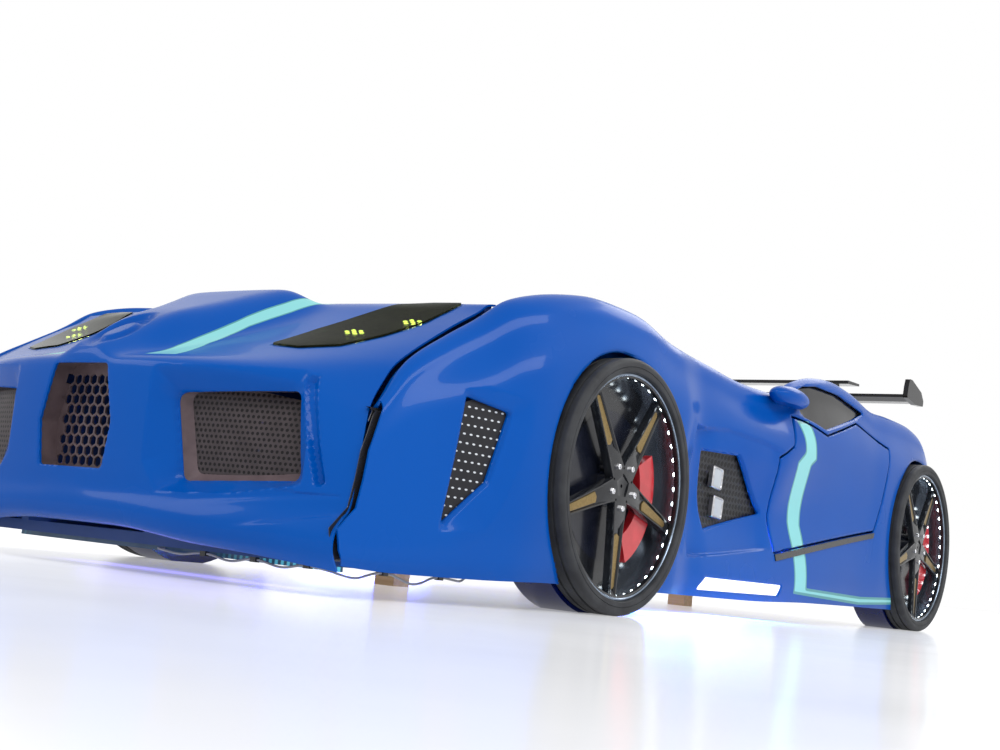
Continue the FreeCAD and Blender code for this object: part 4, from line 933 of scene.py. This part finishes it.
LIP_SHIFT = ((11, 2), (5, 2), (5, 11), (11, 11))
NOSE_CREASES = (((251, 103), (440, 124)), ((326, 76), (470, 103)))
HEADLIGHT_SPOTS = ((313, -939), (373, -885))
HEADLIGHT_PITCH, HEADLIGHT_SUNK = (7.0, 6.0), 4.0
HEADLIGHT_STUD = ((3.6, 0.0), (3.6, 1.2), (2.2, 2.0))
HEADLIGHT_DOTS = ((-2, 0), (-1, 1), (-1, -1), (0, 0), (1, 1), (1, -1), (2, 0))
STRIPE_RIM = 2.6                            # narrows the dark rim of the hood's stripe
CENTRE_OPENING = ((-57, 282), (57, 282), (78, 200), (68, 135), (-68, 135), (-78, 200))
SIDE_OPENING = ((172, 247), (360, 258), (390, 141), (200, 128))
SIDE_FRAME = ((147, 281), (364, 286), (376, 270), (400, 200), (404, 134), (300, 116),
              (180, 110), (148, 150))
SLOT_OUTLINE = ((368, 278), (381, 279), (434, 138), (421, 136))
LENS_OUTLINE = ((238, -1024), (292, -1026), (344, -1000), (374, -948), (396, -890),
                (402, -812), (352, -816), (300, -836), (272, -893), (250, -950))
LENS_LAND = 10.0
HOOD_STRIPE = ((94, -1124), (93, -1066), (98, -1032), (105, -985), (111, -957), (120, -927),
               (129, -900), (136, -871), (150, -820), (158, -780), (184, -780), (174, -820),
               (160, -868), (150, -905), (139, -935), (129, -966), (125, -996), (124, -1034),
               (132, -1066), (144, -1100), (149, -1116))
EMBLEM = (0.0, -1098.0, 42.0, 62.0)      # oval recess: x, y, half width, half length
PLATE_DEEP = 40.0


def dome_height(x, y):
    """Height of the hood's bulge above the plain surface."""
    half = through(DOME_WIDTH, y)
    return through(DOME_RISE, y) * (1 - blend_step((abs(x) - 0.62 * half) / (0.42 * half)))


def nose_poles():
    grid = []
    for (yc, zc), (ys, zs), out in NOSE_ROWS:
        row = []
        for k in range(NOSE_COLUMNS):
            u = -1 + 2 * k / (NOSE_COLUMNS - 1)
            share = abs(u) ** 2.4
            x, y = u * (RAIL_OUT + out), yc + (ys - yc) * share
            above = zc - BOTTOM_ROW_Z
            rise = dome_height(x, y) * min(1.0, max(0.0, above / 120))
            rise -= CORNER_DROP * blend_step((abs(x) - 90) / 160) * max(0.0, 1 - above / 70)
            row.append((x, y, zc + (zs - zc) * share + rise))
        grid.append(row)
    return np.array(grid)


def nose_surface():
    poles = nose_poles()
    return spline_grid(poles, even_parameters(poles[:, 24], lambda p: 2.5),
                       even_parameters(poles[8], lambda p: 2.7))


def nose_depth(x, y, z):
    """How far each point of the nose is pressed in."""
    side = np.abs(x)
    hole = distance_to(rounded(SIDE_OPENING, SIDE_CORNER), side, z)
    depth = funnel(hole, distance_to(rounded(SIDE_FRAME, 12), side, z), FRAME_DEEP)
    depth += roll_in(hole, 3.0)
    slot = distance_to(rounded(SLOT_OUTLINE, 5), side, z)
    depth += SLOT_DEEP * (1 - blend_step((slot + 4) / 7))
    depth += roll_in(distance_to(rounded(CENTRE_OPENING, CENTRE_CORNER), x, z), 2.6)
    depth = np.where((z < FRONT_FACE[1]) & (z > FRONT_FACE[0]), depth, 0.0)
    for (x0, z0), (x1, z1) in NOSE_CREASES:
        along = blend_step((side - x0 + 60) / 120) * (z > 70) * (z < 126)
        line = z0 + (side - x0) * (z1 - z0) / (x1 - x0)
        below = blend_step((z - line + 5) / 8) * (1 - blend_step((z - line) / 24))
        depth += CREASE_IN * along * below
    lens = distance_to(rounded(LENS_OUTLINE, 4), side, y)
    cx, cy, half, length = EMBLEM
    oval = np.hypot((x - cx) / half, (y - cy) / length)
    pressed = (LENS_IN * (1 - blend_step((lens - 0.2) / 2.5))
               + EMBLEM_IN * (1 - blend_step((oval - 0.72) / 0.26))
               - EMBLEM_OUT * (1 - blend_step((oval - 0.36) / 0.2)))
    return depth + np.where((y > HOOD_Y) & (z > HOOD_Z), pressed, 0.0)


def nearest(points, first, other, axis, first_axis=0):
    """Point of the dense grid nearest in two coordinates, smoothed over a few."""
    flat = points.reshape(-1, 3)
    away = np.hypot(flat[:, first_axis] - first, flat[:, axis] - other)
    best = np.argsort(away)[:4]
    weight = 1 / (away[best] + 0.3)
    return (flat[best] * weight[:, None]).sum(0) / weight.sum()


def make_side_grilles(materials, points):
    """Curved perforated plate behind each side opening, with its brown wall."""
    middle = points[:, points.shape[1] // 2, 2]
    low, high, rear = PLATE_ZONE
    front = points[(middle > low) & (middle < high) & (points[:, 0, 1] < rear)]
    inward = grid_normals(front)
    plate = closed_sheet("grille_plate_left", front + inward * PLATE_DEEP,
                         front + inward * (PLATE_DEEP + PLATE_THICK))
    outline = rounded(SIDE_OPENING, SIDE_CORNER)
    carve(plate, [(grown(outline, 5.0), *PLATE_PRISM)], "INTERSECT")
    biggest_part(plate)
    inner_line = rounded([(x + dx, z + dz) for (x, z), (dx, dz) in
                          zip(SIDE_OPENING, LIP_SHIFT)], SIDE_CORNER)
    skin_back = FRAME_DEEP + SKIN + 0.5
    rings = [[(x * MM, (nearest(front, x, z, 2)[1] + depth) * MM, z * MM) for x, z in line]
             for line, depth in ((grown(outline, 1.0), skin_back), (inner_line, PLATE_DEEP),
                                 (grown(outline, 6.0), PLATE_DEEP),
                                 (grown(outline, 3.0), skin_back))]
    wall = solid_object("grille_wall_left", [stack(rings, closed=True)], 40.0)
    both_sides(smooth_by_angle(plate, 35.0), materials["mesh_front"], "grille", "grille_{}")
    both_sides(wall, materials["frame_brown"], "grille", "grille_{}")


def make_nose(materials):
    points = nose_surface()
    depth = nose_depth(*np.moveaxis(points, -1, 0))
    outer = points + grid_normals(points) * depth[..., None]
    shell = closed_sheet("body_nose", outer, outer + grid_normals(outer) * SKIN)
    prisms = [(rounded(CENTRE_OPENING, CENTRE_CORNER), *NOSE_PRISM)]
    opening = rounded(SIDE_OPENING, SIDE_CORNER)
    lens = rounded(grown(LENS_OUTLINE, -LENS_LAND), 4)
    for side in SIDES.values():
        prisms.append(([(side * a, b) for a, b in opening], *NOSE_PRISM))
        prisms.append(([(side * a, b) for a, b in lens], *HOOD_PRISM))
    carve(shell, prisms)
    biggest_part(shell)
    make_side_grilles(materials, points)
    make_headlights(materials, points)
    paint_stripe(shell, lambda x, y, z: np.where(
        z > HOOD_Z, -STRIPE_RIM * distance_to(HOOD_STRIPE, np.abs(x), y), -30),
        materials["paint"])
    return shell


# ---------------------------------------------------------------- wheels
def lathe(profile, steps, axle_y, side):
    """Closed profile of (x, radius) turned about a wheel axle."""
    turns = [math.tau * k / steps for k in range(steps)]
    return stack([[(side * x * MM, (axle_y + r * math.cos(a)) * MM,
                    (WHEEL_Z + r * math.sin(a)) * MM) for x, r in profile] for a in turns],
                 closed=True)


def on_wheel(axle_y, side, angle, reach, across, x):
    """Point of a wheel, from its distance along and across a spoke."""
    return (side * x * MM, (axle_y + reach * math.cos(angle) - across * math.sin(angle)) * MM,
            (WHEEL_Z + reach * math.sin(angle) + across * math.cos(angle)) * MM)


def arc_points(cx, cr, radius, start, end, steps):
    return [(cx + radius * math.cos(math.radians(start + (end - start) * k / steps)),
             cr + radius * math.sin(math.radians(start + (end - start) * k / steps)))
            for k in range(steps + 1)]


def tyre_profile():
    """Section of the tyre, with two grooves in its tread and a line on its wall."""
    half = (TYRE_FACE - TYRE_BACK) / 2
    mid = (TYRE_FACE + TYRE_BACK) / 2
    top = TYRE_RADIUS
    points = [(TYRE_BACK, RIM_RADIUS), (TYRE_BACK, top - 9)]
    points += arc_points(TYRE_BACK + 8, top - 8, 8, 180, 90, 5)
    for offset in (-9, 9):
        points += [(mid + offset - 2.2, top), (mid + offset - 1.6, top - 2.5),
                   (mid + offset + 1.6, top - 2.5), (mid + offset + 2.2, top)]
    points += arc_points(TYRE_FACE - 8, top - 8, 8, 90, 0, 5)
    points += [(TYRE_FACE - 0.2, top - 13), (TYRE_FACE - 1.2, top - 13.8),
               (TYRE_FACE - 0.2, top - 14.6), (TYRE_FACE - 0.6, RIM_RADIUS + 4)]
    points += arc_points(TYRE_FACE - 3.6, RIM_RADIUS + 3, 3, 0, -90, 3)
    return points


def barrel_profile():
    """Section of the rim's polished barrel."""
    front, r = RIM_FACE, RIM_RADIUS
    inner = r - RIM_WALL
    points = [(front - RIM_DEPTH, inner), (front - RIM_DEPTH, r), (front - 1.5, r)]
    points += arc_points(front - 1.5, r - 1.5, 1.5, 90, 0, 2)
    return points + [(front, inner + 1.5), (front - 1.0, inner + 0.3), (front - 2.0, inner)]


SPOKE_STATIONS = ((16, 20, 0.0), (52, 17, 0.0), (66, 15.5, 4.0), (160, 10.5, 4.0), (170, 10, 0.0),
                  (RIM_RADIUS - 3, 9.8, 0.0))     # reach, half width, depth of the recess
SPOKE_LIP = 3.2
INLAY = ((78, 9.0), (156, 5.6), (160, 0), (156, -5.6), (78, -9.0), (74, 0))
INLAY_LEVELS = ((-4.0, 1.0), (-2.6, 0.9))         # from the spoke's front, share of the width


def spoke_mesh(axle_y, side, angle):
    """Tapering spoke with a raised rim on both flanks and a long recess between them."""
    back, front = RIM_FACE - SPOKE_BACK, RIM_FACE - SPOKE_FRONT
    rings = []
    for reach, half, dip in SPOKE_STATIONS:
        flank = [(half, back), (half, front - 3), (half - 1.2, front), (half - SPOKE_LIP, front),
                 (half - SPOKE_LIP - 1.4, front - dip)]
        crown = 1.0 if reach < 60 else 0.0
        row = [(-across, x) for across, x in flank] + [(0, front - dip + crown)] + flank[::-1]
        rings.append([on_wheel(axle_y, side, angle, reach, *place) for place in row])
    return stack(rings)


def inlay_mesh(axle_y, side, angle):
    """Bronze strip that lies in a spoke's recess."""
    return stack([[on_wheel(axle_y, side, angle, reach, across * share,
                            RIM_FACE - SPOKE_FRONT + level) for reach, across in INLAY]
                  for level, share in INLAY_LEVELS])


NUT = ((6.6, 0, False), (6.6, 1.5, False), (5.4, 2.0, False), (5.2, 2.0, True), (5.0, 7.6, True),
       (4.2, 8.4, True), (2.6, 8.4, False), (2.3, 6.5, False))     # radius, height, six-sided


def bolt_mesh(x, y, z, side):
    """Six-sided nut with a round collar and a sunk centre."""
    rings = []
    for radius, up, six in NUT:
        ring = []
        for k in range(24):
            a = math.tau * k / 24
            reach = radius
            if six:
                reach *= math.cos(math.pi / 6) / math.cos((a % (math.pi / 3)) - math.pi / 6)
            ring.append((side * (x + up) * MM, (y + reach * math.cos(a)) * MM,
                         (z + reach * math.sin(a)) * MM))
        rings.append(ring)
    return stack(rings)


def hub_profile():
    back, front = RIM_FACE - SPOKE_BACK, RIM_FACE - SPOKE_FRONT
    return [(back, 3), (back, HUB_RADIUS - 10), (front - 4, HUB_RADIUS - 4),
            (front - 1, HUB_RADIUS - 7), (front - 0.5, 20), (front - 2, 16), (front - 2, 3)]


def make_wheels(materials):
    nuts, inlays, lights, walls = [], [], [], []
    back = RIM_FACE - RIM_DEPTH
    wall = [(back - 1.5, DISC_RADIUS - 8), (back - 1.5, RIM_RADIUS - 2),
            (back + 0.5, RIM_RADIUS - 2), (back + 0.5, DISC_RADIUS - 8)]
    spokes = [math.radians(SPOKE_ANGLE + 360.0 * k / SPOKE_COUNT) for k in range(SPOKE_COUNT)]
    for end, axle in (("front", FRONT_AXLE_Y), ("rear", REAR_AXLE_Y)):
        for name, side in SIDES.items():
            tag = "%s_%s" % (end, name)
            tyre = [lathe(tyre_profile(), 160, axle, side)]
            barrel = [lathe(barrel_profile(), 128, axle, side)]
            rim = [lathe(hub_profile(), 64, axle, side)]
            rim += [spoke_mesh(axle, side, a) for a in spokes]
            for kind, parts, angle, node in (("tyre", tyre, 30.0, "tyre_"),
                                             ("barrel", barrel, 25.0, "rim_"),
                                             ("rim", rim, 25.0, "rim_")):
                dress(solid_object("wheel_%s_%s" % (kind, tag), parts, angle), materials[kind],
                      node[:-1], node + tag)
            walls.append(lathe(wall, 96, axle, side))
            inlays += [inlay_mesh(axle, side, a) for a in spokes]
            nuts += [bolt_mesh(RIM_FACE - SPOKE_FRONT - 3.0, axle + BOLT_CIRCLE * math.cos(a),
                               WHEEL_Z + BOLT_CIRCLE * math.sin(a), side) for a in spokes]
            lights += [rim_light(axle, side, math.tau * (k + 0.5) / LED_COUNT)
                       for k in range(LED_COUNT)]
    dress(solid_object("wheel_backs", walls), materials["rim"], "rim")
    dress(solid_object("wheel_bolts", nuts), materials["chrome"], "chrome", "lug_bolts")
    dress(solid_object("wheel_inlays", inlays), materials["gold"], "rim")
    dress(solid_object("wheel_light_dots", lights, 50.0), materials["led"], "light")


def rim_light(axle, side, angle):
    """Light dot on the inner wall of the barrel, facing the axle."""
    inward = Vector((0, -math.cos(angle), -math.sin(angle)))
    centre = Vector((side * (RIM_FACE - LED_IN), axle, WHEEL_Z))
    centre -= inward * (RIM_RADIUS - RIM_WALL - LED_LAND)
    return stud(centre, Vector((side, 0, 0)), Vector((0, -math.sin(angle), math.cos(angle))),
                inward, LED_STUD)


# ---------------------------------------------------------------- putting it together
def dress(obj, material, slot_name, *replaced, body="bed"):
    obj.data.materials.clear()
    obj.data.materials.append(material)
    settle(obj, slot_name, *replaced, body=body)


def settle(obj, slot_name, *replaced, body="bed"):
    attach(obj, body)
    if replaced:
        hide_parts(*replaced)


def finish_nodes(materials):
    """Materials of the carried-over CAD nodes."""
    by_slot = {"shell": "paint", "light": "lamp", "grille": "mesh_front", "pine": "pine_x"}
    special = {"slat_ledgers": "pine_y", "centre_beam": "pine_y", "skirt_light_panels": "glow",
               "underglow_bars": "cyan", "headlight_leds": "black", "wheel_light_rings": "rim",
               "grille_centre": "frame_brown"}
    for part in ("blade", "upper_blade", "end_plates", "struts"):
        special["wing_" + part] = "window"
    for side in SIDES:
        special["fender_vent_" + side] = "mesh_vent"
        special["side_intake_" + side] = "honeycomb"
    slots = {p["node"]: p["material_slot"] for p in frame["record"]["subparts"]}
    for name, node in NODES.items():
        key = special.get(name, by_slot.get(slots[name], slots[name]))
        node.data.materials.clear()
        node.data.materials.append(materials[key])


def make_headlights(materials, points):
    """Two groups of small lime lights below each smoked lens."""
    parts = []
    hood = points[points[:, points.shape[1] // 2, 2] > 290]
    axes = [Vector(axis) for axis in ((1, 0, 0), (0, 1, 0), (0, 0, 1))]
    for side in SIDES.values():
        for cx, cy in HEADLIGHT_SPOTS:
            for i, j in HEADLIGHT_DOTS:
                x, y = cx + i * HEADLIGHT_PITCH[0], cy + j * HEADLIGHT_PITCH[1]
                centre = Vector((side * x, y, nearest(hood, x, y, 1)[2] - HEADLIGHT_SUNK))
                parts.append(stud(centre, *axes, HEADLIGHT_STUD))
    dress(solid_object("headlight_dots", parts, 50.0), materials["amber"], "light")


# ---------------------------------------------------------------- stage
FLOOR_HALF = 30.0
# Name, place, size along X and Y, watts, colour, and for a tilted lamp what it aims at.
LAMPS = (("key", (2.2, -2.6, 3.4), 2.6, 1.2, 75, (1, 1, 1), (0.3, -0.2, 0.3)),
         ("fill", (-2.5, -3.2, 2.4), 1.6, 1.6, 30, (1, 1, 1), (0, -0.8, 0.3)),
         ("side", (3.6, 0.6, 2.2), 3.0, 0.7, 45, (1, 1, 1), (0.5, 0.3, 0.25)),
         ("back", (0.5, 3.2, 2.6), 2.4, 1.2, 30, (1, 1, 1), (0, 0.6, 0.4)),
         ("under_left", (0.40, -0.02, 0.034), 0.08, 0.42, 5.0, (0.10, 0.14, 1.0), None),
         ("under_right", (-0.40, -0.02, 0.034), 0.08, 0.42, 5.0, (0.10, 0.14, 1.0), None),
         ("under_nose", (0.10, -0.98, 0.034), 0.5, 0.06, 0.3, (0.25, 0.2, 1.0), None),
         ("under_edge", (0.46, -0.05, 0.034), 0.03, 0.55, 1.5, (0.05, 0.75, 1.0), None))


def make_floor():
    corners = [(a * FLOOR_HALF, b * FLOOR_HALF, 0) for a, b in ((-1, -1), (1, -1), (1, 1), (-1, 1))]
    floor = mesh_object("floor", corners, [[0, 1, 2, 3]])
    m = Nodes("floor_white")
    m.set(base_color=(0.86, 0.86, 0.88, 1), emission_color=(1, 1, 1, 1), emission_strength=0.28,
          specular=0.3)
    m.roughness(m.noise(3.0), 0.12, 0.2)
    floor.data.materials.append(m.material)


def make_world():
    """Pale even light; seen directly, through glass or in gloss, the backdrop is white."""
    world = bpy.data.worlds.new("studio")
    bpy.context.scene.world = world
    world.use_nodes = True
    tree = world.node_tree
    tree.nodes.clear()
    path = tree.nodes.new("ShaderNodeLightPath")
    seen = path.outputs["Is Camera Ray"]
    for ray in ("Is Transmission Ray", "Is Glossy Ray"):
        most = tree.nodes.new("ShaderNodeMath")
        most.operation = "MAXIMUM"
        tree.links.new(seen, most.inputs[0])
        tree.links.new(path.outputs[ray], most.inputs[1])
        seen = most.outputs[0]
    mix = tree.nodes.new("ShaderNodeMixShader")
    tree.links.new(seen, mix.inputs["Fac"])
    for socket, colour, strength in ((1, (0.93, 0.96, 1.0, 1), 0.5), (2, (1, 1, 1, 1), 1.0)):
        background = tree.nodes.new("ShaderNodeBackground")
        background.inputs["Color"].default_value = colour
        background.inputs["Strength"].default_value = strength
        tree.links.new(background.outputs[0], mix.inputs[socket])
    output = tree.nodes.new("ShaderNodeOutputWorld")
    tree.links.new(mix.outputs[0], output.inputs["Surface"])


def make_lamps():
    for name, place, size_x, size_y, power, colour, aim in LAMPS:
        data = bpy.data.lights.new(name, "AREA")
        data.shape = "RECTANGLE"
        data.size, data.size_y = size_x, size_y
        data.color, data.energy = colour, power
        lamp = bpy.data.objects.new(name, data)
        bpy.context.scene.collection.objects.link(lamp)
        lamp.location = place
        if aim:
            lamp.rotation_mode = "QUATERNION"
            lamp.rotation_quaternion = (Vector(aim) - Vector(place)).to_track_quat("-Z", "Y")


# ---------------------------------------------------------------- main
make_camera()
MATERIALS = make_materials()
finish_nodes(MATERIALS)
make_floor()
make_world()
make_lamps()
bpy.context.scene.view_settings.view_transform = "Standard"
side_shell, door_skin = make_sides(MATERIALS)
settle(side_shell, "shell", "side_shell_left")
settle(door_skin, "shell", "door_left", body="door_left")
settle(mirrored(side_shell, "body_side_right"), "shell", "side_shell_right")
settle(mirrored(door_skin, "door_skin_right"), "shell", "door_right", body="door_right")
settle(make_nose(MATERIALS), "shell", "nose_shell")
make_wheels(MATERIALS)
